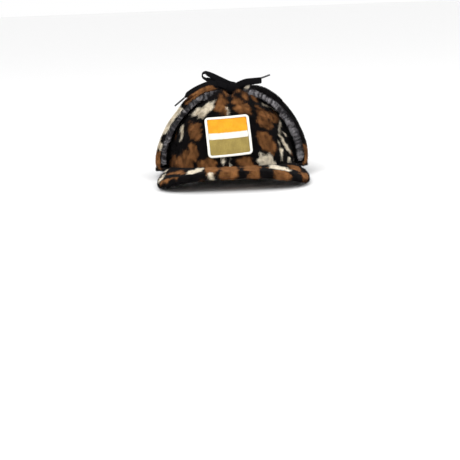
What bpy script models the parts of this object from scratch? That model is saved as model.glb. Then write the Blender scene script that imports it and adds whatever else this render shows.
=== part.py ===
"""Earflap cap in printed fleece, with its flaps turned up and tied on top.

Each cut piece is one closed solid, in metres. +Z is up and the brim points towards -Y.
Left and right are as seen from the front.
"""
import math

import bmesh
import bpy
from mathutils import Matrix, Vector

MM = 0.001

# Gaps between pieces that touch
CLEARANCE = 0.3 * MM

# Crown
CROWN_HEIGHT = 106.5 * MM
CROWN_HALF_WIDTH = 86.5 * MM
CROWN_FRONT = 106 * MM
CROWN_BACK = 106 * MM
CROWN_WALL = 5 * MM
PANEL_PUFF = 1.2 * MM
APEX_RADIUS = 1.2 * MM
RIM_RISE = 15 * MM
RIM_FALL_FROM = 60
RIM_FALL_TO = 162
FRONT_SEAM = -3
SIDE_SEAM = 58
BACK_SEAM = 120
PANEL_COLUMNS = 7
FOLD_DEPTH = 3.5 * MM
FOLD_WIDTH = 24 * MM

# Brim
BRIM_HALF_WIDTH = 95.5 * MM
BRIM_REACH = 62 * MM
BRIM_THICKNESS = 9.5 * MM
BRIM_DROOP = 16 * MM
BRIM_ROOT_ANGLE = 64
BRIM_ROOT_DROP = 6 * MM
BRIM_DIP = 1 * MM
BRIM_EDGE_ROLL = 11 * MM
BRIM_COLUMNS = 26

# Ear flaps
LINING_THICKNESS = 6.3 * MM
COVER_THICKNESS = 4.2 * MM
FLAP_SEAT = 0.6 * MM
FLAP_LIFT = 2.5 * MM
FLAP_STAND = 5 * MM
FLAP_TAPER = 0.3
FLAP_TAPER_FROM = 0.88
LEFT_TIP = 10.5 * MM
RIGHT_TIP = 16.5 * MM
HEM_HEIGHT = 8 * MM

# Patch
PATCH_SIZE = 54 * MM
PATCH_BORDER = 3 * MM
PATCH_CORNER = 5 * MM
PATCH_FIELD = 1.5 * MM
PATCH_BAND = 8 * MM
PATCH_RISE = 48 * MM
PATCH_OFFSET = -4 * MM
PATCH_TURN = 4

# Lace and bow
LACE_WIDTH = 8 * MM
LACE_THICKNESS = 1.8 * MM
LACE_NARROWING = 6 * MM
AGLET_DIAMETER = 2.4 * MM
AGLET_LENGTH = 17 * MM
KNOT_LENGTH = 23 * MM
KNOT_WIDTH = 13 * MM
KNOT_HEIGHT = 14 * MM
KNOT_OFFSET = 3 * MM
LEFT_LOOP_REACH = 27.5 * MM
LEFT_LOOP_RISE = 14.3 * MM
LEFT_LOOP_LEAN = 20
RIGHT_LOOP_REACH = 27.5 * MM
RIGHT_LOOP_RISE = 5.4 * MM
RIGHT_LOOP_SPREAD = 4.6 * MM
LEFT_TAIL_LEAN = 20
TAIL_SEAT = 0.6 * MM
RUN_ACROSS = -0.2
RUN_ROWS = [0.90, 0.94, 0.97, 0.985, 1.0]
RUN_OVERHANG = 1.8 * MM
RUN_SEAT = 0.7 * MM

# Crown profile from the rim up: how far along, height above the rim, and the three radii
CROWN_PROFILE = [
    # along, height, side, front, back
    (0.00, 0.00, 0.983, 1.000, 0.981),
    (0.07, 0.10, 1.000, 1.000, 0.995),
    (0.15, 0.22, 0.986, 0.986, 1.000),
    (0.25, 0.36, 0.939, 0.948, 0.976),
    (0.36, 0.50, 0.864, 0.887, 0.922),
    (0.47, 0.64, 0.757, 0.802, 0.829),
    (0.58, 0.77, 0.636, 0.695, 0.702),
    (0.69, 0.88, 0.490, 0.557, 0.542),
    (0.81, 0.96, 0.290, 0.358, 0.338),
    (1.00, 1.00, 0.000, 0.000, 0.000),
]
PANEL_ROWS = [0.0, 0.07, 0.15, 0.24, 0.33, 0.42, 0.51, 0.6, 0.69, 0.78, 0.87, 0.94, 1.0]

# Folds in the crown: two ends by angle and by how far up, with shares of a fold's depth and width
CROWN_FOLDS = [
    # from angle, from along, to angle, to along, depth, half width
    (-77, 0.03, -42, 0.24, 1.00, 0.50),
    (60, 0.42, 76, 0.12, 0.86, 0.46),
    (58, 0.02, 66, 0.30, 0.71, 0.42),
]

# Brim outline from the middle of its front edge round to its root
BRIM_OUTLINE = [
    # round, half width, reach, droop
    (0.00, 0.000, 1.00, 0.00),
    (0.20, 0.370, 0.98, 0.06),
    (0.40, 0.680, 0.88, 0.33),
    (0.55, 0.850, 0.69, 0.63),
    (0.68, 0.945, 0.44, 0.86),
    (0.80, 0.992, 0.10, 1.00),
    (0.90, 1.000, -0.34, 0.95),
    (0.96, 0.965, -0.70, 0.80),
    (1.00, 0.872, -0.97, 0.60),
]
# Brim thickness inwards from its edge: distance in edge rolls, top and underside in thicknesses
BRIM_EDGE = [
    # inwards, top, underside
    (0.00, -0.33, -0.67),
    (0.14, -0.12, -0.88),
    (0.45, 0.02, -1.00),
    (0.80, -0.02, -0.98),
    (1.00, -0.10, -0.92),
    (1.30, 0.00, -1.00),
]
BRIM_INNER_ROWS = [0.0, 0.33, 0.66]

# Flap outline from the rim to the tip: front and back edges in crown front lengths,
# the lift of its front edge, and how far each whole flap stands off the crown
FLAP_OUTLINE = [
    # along, front, back, lift, left stand, right stand
    (0.00, -0.36, 0.66, 0.20, 0.85, 0.00),
    (0.15, -0.36, 0.65, 0.70, 0.50, 0.05),
    (0.30, -0.34, 0.61, 1.00, 0.10, 0.15),
    (0.45, -0.31, 0.55, 1.00, 0.00, 0.50),
    (0.60, -0.28, 0.48, 0.90, 0.00, 0.75),
    (0.75, -0.24, 0.40, 0.70, 0.00, 0.60),
    (0.88, -0.19, 0.31, 0.50, 0.00, 0.30),
    (0.95, -0.14, 0.23, 0.40, 0.00, 0.10),
    (1.00, -0.05, 0.13, 0.30, 0.00, 0.00),
]
FLAP_ROWS = [0.02, 0.06, 0.11, 0.18, 0.26, 0.35, 0.44, 0.53, 0.62, 0.71, 0.80, 0.87, 0.93, 0.97, 1.0]
# Lining across the flap, from its front edge to its back edge, in lining thicknesses
LINING_SECTION = [
    # across, inner, outer
    (-1.00, 0.48, 0.88),
    (-0.97, 0.16, 1.20),
    (-0.90, 0.00, 1.36),
    (-0.78, 0.00, 1.26),
    (-0.55, 0.00, 1.06),
    (-0.30, 0.00, 1.00),
    (-0.05, 0.00, 1.00),
    (0.20, 0.00, 1.00),
    (0.45, 0.00, 1.00),
    (0.70, 0.00, 1.00),
    (0.92, 0.00, 1.00),
    (1.00, 0.28, 0.74),
]
# Cover across the flap: its inner face in lining thicknesses, its own thickness in shares
COVER_SECTION = [
    # across, inner, thickness
    (-0.95, 1.37, 0.55),
    (-0.90, 1.37, 0.95),
    (-0.78, 1.27, 1.00),
    (-0.55, 1.07, 1.00),
    (-0.30, 1.00, 1.00),
    (-0.05, 1.00, 1.00),
    (0.20, 1.00, 1.00),
    (0.45, 1.00, 1.00),
    (0.70, 1.00, 1.00),
    (0.92, 1.00, 1.00),
    (1.00, 1.00, 0.55),
]
# Hem that turns in under the lining: shares of the cover's stand-off, and heights in hem heights
HEM_SECTION = [
    # outer stand-off, outer height, inner stand-off, inner height
    (0.00, -0.30, 0.00, 0.12),
    (0.55, -0.38, 0.55, 0.12),
    (0.87, -0.26, 0.90, 0.17),
    (0.99, 0.02, 1.00, 0.28),
]

# Loops of the bow, from one end at the knot round to the other: how far out and up,
# in half sizes of the knot and then in the loop's own reach and rise, and how far to its side
LEFT_LOOP = [
    # knot out, loop out, spread, knot up, loop up
    (-0.17, 0.00, 0.00, 1.06, 0.00),
    (0.38, 0.00, 0.00, 1.06, 0.02),
    (1.00, 0.13, 0.00, 1.00, 0.37),
    (1.00, 0.57, 0.00, 1.00, 0.82),
    (1.00, 0.84, 0.00, 1.00, 1.00),
    (1.00, 0.98, 0.00, 1.00, 0.86),
    (1.00, 0.98, 0.00, 1.00, 0.58),
    (1.00, 0.84, 0.00, 1.00, 0.38),
    (1.00, 0.57, 0.00, 1.00, 0.24),
    (1.00, 0.24, 0.00, 0.95, 0.02),
    (0.88, 0.00, 0.00, 0.76, 0.00),
]
RIGHT_LOOP = [
    # knot out, loop out, spread, knot up, loop up
    (0.86, 0.00, -0.96, 0.60, 0.00),
    (1.00, 0.18, -1.00, 0.72, 0.22),
    (1.00, 0.36, -1.00, 0.70, 0.40),
    (1.00, 0.68, -0.92, 0.55, 0.72),
    (1.00, 0.89, -0.56, 0.45, 0.95),
    (1.00, 0.97, 0.00, 0.45, 1.00),
    (1.00, 0.89, 0.56, 0.45, 0.95),
    (1.00, 0.68, 0.92, 0.55, 0.72),
    (1.00, 0.36, 1.00, 0.70, 0.40),
    (1.00, 0.18, 1.00, 0.72, 0.22),
    (0.86, 0.00, 0.96, 0.60, 0.00),
]
# The lace's two free ends, from the knot to the aglet. The left one leaves the knot and then
# runs on its edge over the left flap, and the right one stands clear behind its loop.
LEFT_TAIL_START = [
    # x, y, z from the knot's middle, in millimetres
    (-7.0, -6.1, 2.6),
    (-10.5, -6.5, 4.2),
    (-14.0, -6.9, 6.0),
]
LEFT_TAIL = [
    # along the flap, across it
    (0.985, -0.95),
    (0.965, -0.87),
    (0.945, -0.80),
    (0.920, -0.74),
    (0.895, -0.70),
    (0.870, -0.68),
    (0.845, -0.66),
    (0.820, -0.65),
    (0.795, -0.64),
    (0.770, -0.63),
    (0.745, -0.62),
    (0.720, -0.61),
    (0.698, -0.60),
]
RIGHT_TAIL = [
    # x, y, z from the knot's middle, in millimetres
    (-10.2, 4.8, 0.2),
    (-7.0, 6.3, 0.4),
    (-3.0, 7.4, 0.7),
    (1.0, 7.8, 1.1),
    (5.0, 7.8, 1.6),
    (9.0, 7.7, 2.3),
    (13.0, 7.7, 3.2),
    (17.0, 7.7, 4.2),
    (20.5, 7.6, 5.2),
    (23.5, 7.5, 6.2),
    (26.5, 7.3, 7.3),
    (29.3, 7.1, 8.4),
    (31.8, 6.8, 9.3),
    (34.2, 6.4, 10.1),
]
# Lace across its width: a share of the width, and of the thickness
LACE_SECTION = [
    # across, thickness
    (-0.50, 0.50),
    (-0.36, 1.00),
    (0.36, 1.00),
    (0.50, 0.50),
]


def smooth_at(table, x, column):
    """The value of a column at x, on a smooth curve through the table's rows."""
    last = len(table) - 1
    x = min(max(x, table[0][0]), table[last][0])
    row = 0
    while row < last - 1 and x > table[row + 1][0]:
        row += 1

    def slope(i):
        low = max(i - 1, 0)
        high = min(i + 1, last)
        return (table[high][column] - table[low][column]) / (table[high][0] - table[low][0])

    width = table[row + 1][0] - table[row][0]
    u = (x - table[row][0]) / width
    a = table[row][column]
    b = table[row + 1][column]
    bend_a = slope(row) * width
    bend_b = slope(row + 1) * width
    return (
        a * (2 * u**3 - 3 * u**2 + 1)
        + bend_a * (u**3 - 2 * u**2 + u)
        + b * (3 * u**2 - 2 * u**3)
        + bend_b * (u**3 - u**2)
    )


def straight_at(table, x, column):
    """The value of a column at x, on straight lines between the table's rows."""
    for low, high in zip(table, table[1:]):
        if x <= high[0]:
            u = (x - low[0]) / (high[0] - low[0])
            return low[column] + (high[column] - low[column]) * u
    return table[-1][column]


def eased(x):
    """0 up to x = 0, 1 from x = 1, and smooth between."""
    x = min(max(x, 0.0), 1.0)
    return x * x * (3 - 2 * x)


def rim_height(angle):
    """Height of the crown's lower edge at an angle from the front, in degrees."""
    fall = (abs(angle) - RIM_FALL_FROM) / (RIM_FALL_TO - RIM_FALL_FROM)
    return RIM_RISE * (1 - eased(fall))


def dome(angle, along):
    """A point on the crown's smooth form, without its panels' puff and folds."""
    turn = math.radians(angle)
    side = smooth_at(CROWN_PROFILE, along, 2) * CROWN_HALF_WIDTH
    if math.cos(turn) > 0:
        length = smooth_at(CROWN_PROFILE, along, 3) * CROWN_FRONT
    else:
        length = smooth_at(CROWN_PROFILE, along, 4) * CROWN_BACK
    side = max(side, APEX_RADIUS)
    length = max(length, APEX_RADIUS)
    rim = rim_height(angle)
    height = rim + (CROWN_HEIGHT - rim) * smooth_at(CROWN_PROFILE, along, 1)
    return Vector((side * math.sin(turn), -length * math.cos(turn), height))


def dome_normal(angle, along):
    """The direction straight out of the crown's smooth form."""
    step = 0.5
    rise = 0.01
    across = dome(angle + step, along) - dome(angle - step, along)
    up = dome(angle, min(along + rise, 1.0)) - dome(angle, max(along - rise, 0.0))
    return across.cross(up).normalized().lerp(Vector((0, 0, 1)), eased((along - 0.9) / 0.1)).normalized()


def on_dome(angle, along, stand_off):
    """A point that stands off the crown's smooth form by a distance."""
    return dome(angle, along) + dome_normal(angle, along) * stand_off


def fold_depth(angle, along):
    """How deep the crown's folds are at a point."""
    depth = 0.0
    girth = math.radians(1) * CROWN_HALF_WIDTH
    climb = 1.3 * CROWN_HEIGHT
    here = Vector((angle * girth, along * climb))
    for from_angle, from_along, to_angle, to_along, fold, half_width in CROWN_FOLDS:
        start = Vector((from_angle * girth, from_along * climb))
        run = Vector((to_angle * girth, to_along * climb)) - start
        share = min(max((here - start).dot(run) / run.length_squared, 0.0), 1.0)
        away = (here - start - run * share).length / (half_width * FOLD_WIDTH)
        depth += fold * FOLD_DEPTH * (1 - eased(away))
    return depth


def sheet_mesh(name, front, back):
    """A closed mesh between two grids of points with the same rows and columns."""
    form = bmesh.new()
    rows = len(front)
    columns = len(front[0])
    faces = [[[form.verts.new(p) for p in row] for row in grid] for grid in (front, back)]
    outer, inner = faces
    for i in range(rows - 1):
        for j in range(columns - 1):
            form.faces.new((outer[i][j], outer[i][j + 1], outer[i + 1][j + 1], outer[i + 1][j]))
            form.faces.new((inner[i][j], inner[i + 1][j], inner[i + 1][j + 1], inner[i][j + 1]))
    rim = [(0, j) for j in range(columns)]
    rim += [(i, columns - 1) for i in range(1, rows)]
    rim += [(rows - 1, j) for j in range(columns - 2, -1, -1)]
    rim += [(i, 0) for i in range(rows - 2, 0, -1)]
    for (i, j), (k, m) in zip(rim, rim[1:] + rim[:1]):
        form.faces.new((outer[i][j], inner[i][j], inner[k][m], outer[k][m]))
    bmesh.ops.recalc_face_normals(form, faces=form.faces)
    mesh = bpy.data.meshes.new(name)
    form.to_mesh(mesh)
    form.free()
    mesh.shade_smooth()
    mesh.set_sharp_from_angle(angle=math.radians(40))
    return mesh


def material(name, colour, roughness):
    """A Principled material, made once for each name."""
    found = bpy.data.materials.get(name)
    if found:
        return found
    made = bpy.data.materials.new(name)
    made.use_nodes = True
    shader = made.node_tree.nodes["Principled BSDF"]
    shader.inputs["Base Color"].default_value = (*colour, 1)
    shader.inputs["Roughness"].default_value = roughness
    shader.inputs["Metallic"].default_value = 0
    made.diffuse_color = (*colour, 1)
    return made


FLEECE = ("printed_fleece", (0.16, 0.085, 0.04), 0.95)
PILE = ("grey_pile", (0.25, 0.24, 0.26), 0.95)
ORANGE = ("orange_thread", (0.85, 0.42, 0.05), 0.6)
WHITE = ("white_thread", (0.85, 0.84, 0.80), 0.6)
OLIVE = ("olive_thread", (0.32, 0.28, 0.10), 0.6)
BLACK_LACE = ("black_lace", (0.012, 0.012, 0.014), 0.75)
BLACK_TIP = ("black_tip", (0.01, 0.01, 0.012), 0.3)


class Cap:
    """The collections, and the empty that every piece is placed by."""

    def __init__(self):
        scene = bpy.context.scene
        self.pieces = bpy.data.collections.new("earflap_cap")
        self.cutters = bpy.data.collections.new("cutters")
        scene.collection.children.link(self.pieces)
        scene.collection.children.link(self.cutters)
        left_stand, right_stand = FLAP_OUTLINE[0][4:]
        sideways = (left_stand - right_stand) * FLAP_STAND / 2
        brim_front = CROWN_FRONT + BRIM_REACH
        self.place = bpy.data.objects.new("cap_place", None)
        self.place.location = (sideways, (brim_front - CROWN_BACK - PANEL_PUFF) / 2, 0)
        scene.collection.objects.link(self.place)

    def add(self, name, data, look):
        """Places one piece, with its material."""
        data.materials.append(material(*look))
        piece = bpy.data.objects.new(name, data)
        piece.parent = self.place
        self.pieces.objects.link(piece)
        return piece


def panel_point(angle, along, seams, inner):
    """A point of one panel's outer or inner face. The panel ends half a clearance from each seam."""
    low, high = seams
    share = (angle - low) / (high - low)
    puff = PANEL_PUFF * max(math.sin(math.pi * share), 0.0) ** 0.6 * (1 - eased((along - 0.85) / 0.15))
    fold = fold_depth(angle, along)
    if inner:
        stand_off = PANEL_PUFF - CROWN_WALL - fold
    else:
        stand_off = puff - fold
    if along == 0:
        out = Vector((dome_normal(angle, along).x, dome_normal(angle, along).y, 0)).normalized()
        point = dome(angle, along) + out * stand_off
    else:
        point = on_dome(angle, along, stand_off)
    turn = math.radians(angle)
    sideways = Vector((math.cos(turn), math.sin(turn), 0))
    if share < 0.001:
        point += sideways * CLEARANCE / 2
    if share > 0.999:
        point -= sideways * CLEARANCE / 2
    return point


def crown(cap):
    """The six panels, each from its seam to the next."""
    panels = {
        "crown_front_left": (-SIDE_SEAM, FRONT_SEAM),
        "crown_front_right": (FRONT_SEAM, SIDE_SEAM),
        "crown_side_right": (SIDE_SEAM, BACK_SEAM),
        "crown_back_right": (BACK_SEAM, 180),
        "crown_back_left": (-180, -BACK_SEAM),
        "crown_side_left": (-BACK_SEAM, -SIDE_SEAM),
    }
    for name, (low, high) in panels.items():
        angles = [low + (high - low) * i / PANEL_COLUMNS for i in range(PANEL_COLUMNS + 1)]
        outer, inner = (
            [[panel_point(a, along, (low, high), face) for a in angles] for along in PANEL_ROWS]
            for face in (False, True)
        )
        cap.add(name, sheet_mesh(name, outer, inner), FLEECE)


def brim_edge(share):
    """A point on the brim's outline at its top face, from -1 at one root to 1 at the other."""
    side = math.copysign(1, share)
    x = side * smooth_at(BRIM_OUTLINE, abs(share), 1) * BRIM_HALF_WIDTH
    y = -CROWN_FRONT - smooth_at(BRIM_OUTLINE, abs(share), 2) * BRIM_REACH
    droop = smooth_at(BRIM_OUTLINE, abs(share), 3) * BRIM_DROOP
    return Vector((x, y, BRIM_THICKNESS + BRIM_DROOP - droop))


def brim_root(share):
    """A point on the brim's root at its top face, against the crown's front."""
    root = dome(share * BRIM_ROOT_ANGLE, 0)
    out = dome_normal(share * BRIM_ROOT_ANGLE, 0)
    away = Vector((out.x, out.y, 0)).normalized() * (PANEL_PUFF + 2 * CLEARANCE)
    top = RIM_RISE + BRIM_THICKNESS - BRIM_DIP / 2 - BRIM_ROOT_DROP * share * share
    return Vector((root.x, root.y, top)) + away


def brim(cap):
    """The brim, thick and rolled along its edge, with a stitched dip inside the roll."""
    top, under = [], []
    for j in range(BRIM_COLUMNS + 1):
        share = 2 * j / BRIM_COLUMNS - 1
        root = brim_root(share)
        edge = brim_edge(share)
        length = (edge - root).length
        roll = min(BRIM_EDGE_ROLL, 0.45 * length)
        rows = [(1 - inwards * roll / length, up, down) for inwards, up, down in BRIM_EDGE]
        field = rows[-1][0]
        rows = [(field * row, 0.0, -1.0) for row in BRIM_INNER_ROWS] + rows[::-1]
        thick = BRIM_THICKNESS * (1 - 0.35 * abs(share) ** 6)
        top.append([root.lerp(edge, along) + Vector((0, 0, up * thick)) for along, up, _ in rows])
        under.append([root.lerp(edge, along) + Vector((0, 0, down * thick)) for along, _, down in rows])
    cap.add("brim", sheet_mesh("brim", top, under), FLEECE)


def crown_slice(y, tip):
    """The crown's cross-section at a distance from its middle: (arc length, angle, along) rows."""
    steps = 80
    rows = []
    arc = 0.0
    before = None
    for i in range(steps + 1):
        along = i / steps
        column = 3 if y < 0 else 4
        length = smooth_at(CROWN_PROFILE, along, column) * (CROWN_FRONT if y < 0 else CROWN_BACK)
        if abs(y) >= length:
            break
        angle = math.degrees(math.acos(-y / length))
        point = dome(angle, along)
        if point.x < tip:
            break
        arc += (point - before).length if before else 0.0
        rows.append((arc, angle, along))
        before = point
    return rows


class Flap:
    """One ear flap, turned up against the crown. side is -1 on the left and 1 on the right."""

    def __init__(self, side, word):
        self.side = side
        self.word = word
        self.tip = LEFT_TIP if side < 0 else RIGHT_TIP
        self.stand_column = 4 if side < 0 else 5

    def site(self, across, along):
        """The angle and the height on the crown under a point of the flap."""
        front = smooth_at(FLAP_OUTLINE, along, 1) * CROWN_FRONT
        back = smooth_at(FLAP_OUTLINE, along, 2) * CROWN_FRONT
        y = front + (back - front) * (across + 1) / 2
        rows = crown_slice(y, self.tip)
        arc = along * rows[-1][0]
        return straight_at(rows, arc, 1), straight_at(rows, arc, 2)

    def lift(self, across, along):
        """How far the flap stands off the crown: more at its front edge."""
        stand = smooth_at(FLAP_OUTLINE, along, self.stand_column) * FLAP_STAND
        edge = smooth_at(FLAP_OUTLINE, along, 3) * FLAP_LIFT * eased((-0.2 - across) / 0.8)
        return PANEL_PUFF + FLAP_SEAT + max(stand, 0) * (1 - 0.6 * across**2) + edge

    def thinned(self, along):
        """What is left of the flap's thickness, which tapers towards the tip."""
        return 1 - FLAP_TAPER * eased((along - FLAP_TAPER_FROM) / (1 - FLAP_TAPER_FROM))

    def outside(self, across, along):
        """How far the cover's outer face stands off the lining's inner one."""
        low = straight_at(COVER_SECTION, across, 1) * LINING_THICKNESS
        return (low + COVER_THICKNESS) * self.thinned(along) + CLEARANCE

    def point(self, across, along, stand_off):
        """A point of the flap over the crown's side."""
        angle, rise = self.site(across, along)
        point = on_dome(angle, rise, self.lift(across, along) + stand_off)
        return Vector((self.side * point.x, point.y, point.z))

    def hem_point(self, across, share, height, full):
        """A point of the hem, which starts at the crown's rim."""
        angle, _ = self.site(across, 0)
        root = dome(angle, 0.06)
        out = dome_normal(angle, 0)
        out = Vector((out.x, out.y, 0)).normalized()
        start = PANEL_PUFF + FLAP_SEAT
        point = root + out * (start + (self.lift(across, 0) - start + full) * share)
        return Vector((self.side * point.x, point.y, rim_height(angle) + height * HEM_HEIGHT))

    def lining(self):
        """The pile lining, rolled at its front edge."""
        inner, outer = [], []
        for along in FLAP_ROWS[1:]:
            thick = LINING_THICKNESS * self.thinned(along)
            inner.append([self.point(a, along, low * thick) for a, low, _ in LINING_SECTION])
            outer.append([self.point(a, along, high * thick) for a, _, high in LINING_SECTION])
        return sheet_mesh(f"flap_lining_{self.word}", outer, inner)

    def cover(self):
        """The printed cover, with the hem that turns in under the lining."""
        inner, outer = [], []
        faces = [(a, low * LINING_THICKNESS, thick * COVER_THICKNESS) for a, low, thick in COVER_SECTION]
        for out_share, out_height, in_share, in_height in HEM_SECTION:
            inner.append([self.hem_point(a, in_share, in_height, face + CLEARANCE) for a, face, _ in faces])
            outer.append([self.hem_point(a, out_share, out_height, f + CLEARANCE + t) for a, f, t in faces])
        for along in FLAP_ROWS:
            thin = self.thinned(along)
            inner.append([self.point(a, along, face * thin + CLEARANCE) for a, face, _ in faces])
            outer.append([self.point(a, along, (face + t) * thin + CLEARANCE) for a, face, t in faces])
        return sheet_mesh(f"flap_{self.word}", outer, inner)


def flaps(cap):
    """Each flap's printed cover and its pile lining."""
    for side, word in ((-1, "left"), (1, "right")):
        flap = Flap(side, word)
        cap.add(f"flap_lining_{word}", flap.lining(), PILE)
        cap.add(f"flap_{word}", flap.cover(), FLEECE)


def patch_point(x, y, stand_off):
    """A point over the crown's front, from the patch's own middle. The patch is turned and offset."""
    turn = Matrix.Rotation(math.radians(PATCH_TURN), 2)
    flat = turn @ Vector((x, y))
    steps = 60
    arc = 0.0
    rows = [(0.0, 0.0)]
    for i in range(steps):
        arc += (dome(0, (i + 1) / steps) - dome(0, i / steps)).length
        rows.append((arc, (i + 1) / steps))
    along = straight_at(rows, PATCH_RISE + flat.y, 1)
    side = smooth_at(CROWN_PROFILE, along, 2) * CROWN_HALF_WIDTH
    angle = math.degrees(math.asin((PATCH_OFFSET + flat.x) / side))
    return on_dome(angle, along, PANEL_PUFF + CLEARANCE + stand_off)


def patch_field(cap, name, low, high, look):
    """One embroidered field, from a low to a high edge, rounded where it meets the border's corners."""
    half = PATCH_SIZE / 2 - PATCH_BORDER - CLEARANCE
    bend = PATCH_CORNER - PATCH_BORDER + CLEARANCE
    steps = max(1, round((high - low) / (6 * MM)))
    levels = [low + (high - low) * i / steps for i in range(steps + 1)]
    if high >= half:
        levels[-1:] = [half - bend, half - bend / 3, half]
    if low <= -half:
        levels[:1] = [-half, -half + bend / 3, -half + bend]
    front, back = [], []
    for y in sorted(levels):
        past = max(abs(y) - (half - bend), 0)
        reach = half - bend + math.sqrt(bend * bend - past * past) if past < bend else half - bend
        columns = [reach * (2 * i / 8 - 1) for i in range(9)]
        front.append([patch_point(x, y, PATCH_FIELD) for x in columns])
        back.append([patch_point(x, y, 0) for x in columns])
    cap.add(name, sheet_mesh(name, front, back), look)


def patch(cap):
    """The patch: three embroidered fields in a square overlocked border."""
    half = PATCH_SIZE / 2 - PATCH_BORDER - CLEARANCE
    band = PATCH_BAND / 2
    patch_field(cap, "patch_upper_field", band + CLEARANCE, half, ORANGE)
    patch_field(cap, "patch_band", -band, band, WHITE)
    patch_field(cap, "patch_lower_field", -half, -band - CLEARANCE, OLIVE)
    middle = (PATCH_SIZE - PATCH_BORDER) / 2
    bend = PATCH_CORNER - PATCH_BORDER / 2
    straight = middle - bend
    around = []
    for quarter in range(4):
        turn = Matrix.Rotation(math.radians(90 * quarter), 2)
        for share in (-0.8, -0.4, 0, 0.4, 0.8):
            around.append(turn @ Vector((middle, share * straight)))
        for step in range(5):
            bow = math.radians(22.5 * step)
            around.append(turn @ Vector((straight + bend * math.cos(bow), straight + bend * math.sin(bow))))
    border = bpy.data.curves.new("patch_border", "CURVE")
    border.dimensions = "3D"
    border.bevel_depth = PATCH_BORDER / 2
    border.bevel_resolution = 1
    spline = border.splines.new("POLY")
    spline.points.add(len(around) - 1)
    for point, flat in zip(spline.points, around):
        point.co = (*patch_point(flat.x, flat.y, PATCH_BORDER / 2), 1)
    spline.use_cyclic_u = True
    cap.add("patch_border", border, WHITE)


def smooth_route(points, steps):
    """Points on a smooth curve through a route, with so many steps from each to the next."""
    table = [(i, *point) for i, point in enumerate(points)]
    shares = [i / steps for i in range((len(points) - 1) * steps + 1)]
    return [Vector([smooth_at(table, share, column) for column in (1, 2, 3)]) for share in shares]


def lace_mesh(name, path, across, narrowing=0.0):
    """A flat lace along a path, its width leaning the way of across, narrowed to an aglet at its end."""
    left = [0.0]
    for low, high in zip(path[::-1], path[-2::-1]):
        left.append(left[-1] + (high - low).length)
    left.reverse()
    front, back = [], []
    for i, point in enumerate(path):
        forward = (path[min(i + 1, len(path) - 1)] - path[max(i - 1, 0)]).normalized()
        side = (across - forward * across.dot(forward)).normalized()
        face = forward.cross(side)
        width = LACE_WIDTH
        if narrowing:
            width = AGLET_DIAMETER + (LACE_WIDTH - AGLET_DIAMETER) * eased(left[i] / narrowing)
        thick = [LACE_THICKNESS / 2 * share for _, share in LACE_SECTION]
        row = [point + side * width * share for share, _ in LACE_SECTION]
        front.append([p + face * t for p, t in zip(row, thick)])
        back.append([p - face * t for p, t in zip(row, thick)])
    return sheet_mesh(name, front, back)


class Bow:
    """The lace, tied over the crown's top: knot, loops, free ends and the runs from the flaps."""

    def __init__(self, cap):
        self.cap = cap
        self.middle = Vector((KNOT_OFFSET, 0, CROWN_HEIGHT + CLEARANCE + KNOT_HEIGHT / 2))

    def knot(self):
        """The knot, a squat bundle of lace."""
        form = bmesh.new()
        bmesh.ops.create_uvsphere(form, u_segments=16, v_segments=10, radius=0.5)
        size = Matrix.Diagonal((KNOT_LENGTH, KNOT_WIDTH, KNOT_HEIGHT, 1))
        bmesh.ops.transform(form, verts=form.verts, matrix=Matrix.Translation(self.middle) @ size)
        mesh = bpy.data.meshes.new("lace_knot")
        form.to_mesh(mesh)
        form.free()
        mesh.shade_smooth()
        self.cap.add("lace_knot", mesh, BLACK_LACE)

    def loop(self, name, table, side, reach, rise, spread, across):
        """One loop, from the knot out and back."""
        seat = KNOT_HEIGHT / 2 + CLEARANCE + LACE_THICKNESS / 2
        points = []
        for knot_out, loop_out, aside, knot_up, loop_up in table:
            out = knot_out * KNOT_LENGTH / 2 + loop_out * reach
            up = knot_up * seat + loop_up * rise
            points.append(self.middle + Vector((side * out, aside * spread, up)))
        self.cap.add(name, lace_mesh(name, smooth_route(points, 3), across), BLACK_LACE)

    def run(self, flap):
        """The stretch of lace from a flap's tip to the knot's end."""
        path = []
        for along in RUN_ROWS:
            stand_off = flap.outside(RUN_ACROSS, along) + RUN_SEAT + LACE_THICKNESS / 2
            path.append(flap.point(RUN_ACROSS, along, stand_off))
        inwards = Vector((-flap.side, 0, 0))
        path.append(path[-1] + inwards * RUN_OVERHANG)
        reach = KNOT_LENGTH / 2 + 3 * CLEARANCE
        end = self.middle + Vector((flap.side * reach, 0, -LACE_THICKNESS))
        path.append(path[-1].lerp(end, 0.6) - Vector((0, 0, LACE_THICKNESS / 3)))
        path.append(end)
        name = f"lace_run_{flap.word}"
        self.cap.add(name, lace_mesh(name, path, Vector((0, 1, 0))), BLACK_LACE)

    def from_middle(self, offsets):
        """Points at offsets from the knot's middle, in millimetres."""
        return [self.middle + Vector(offset) * MM for offset in offsets]

    def on_flap(self, flap, rows, across):
        """Points of a lace that stands on its edge on a flap."""
        stand = LACE_WIDTH / 2 + TAIL_SEAT
        points = []
        for along, aside in rows:
            foot = flap.point(aside, along, flap.outside(aside, along))
            forward = flap.point(aside, along - 0.01, flap.outside(aside, along - 0.01)) - foot
            forward.normalize()
            points.append(foot + (across - forward * across.dot(forward)).normalized() * stand)
        return points

    def tail(self, word, route, across):
        """One free end of the lace, and its aglet."""
        path = smooth_route(route, 2)
        name = f"lace_tail_{word}"
        self.cap.add(name, lace_mesh(name, path, across, LACE_NARROWING), BLACK_LACE)
        forward = (path[-1] - path[-3]).normalized()
        tip = bpy.data.curves.new(f"aglet_{word}", "CURVE")
        tip.dimensions = "3D"
        tip.bevel_depth = AGLET_DIAMETER / 2
        tip.bevel_resolution = 2
        tip.use_fill_caps = True
        spline = tip.splines.new("POLY")
        spline.points.add(1)
        spline.points[0].co = (*(path[-1] + forward * CLEARANCE), 1)
        spline.points[1].co = (*(path[-1] + forward * (CLEARANCE + AGLET_LENGTH)), 1)
        self.cap.add(f"aglet_{word}", tip, BLACK_TIP)


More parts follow.
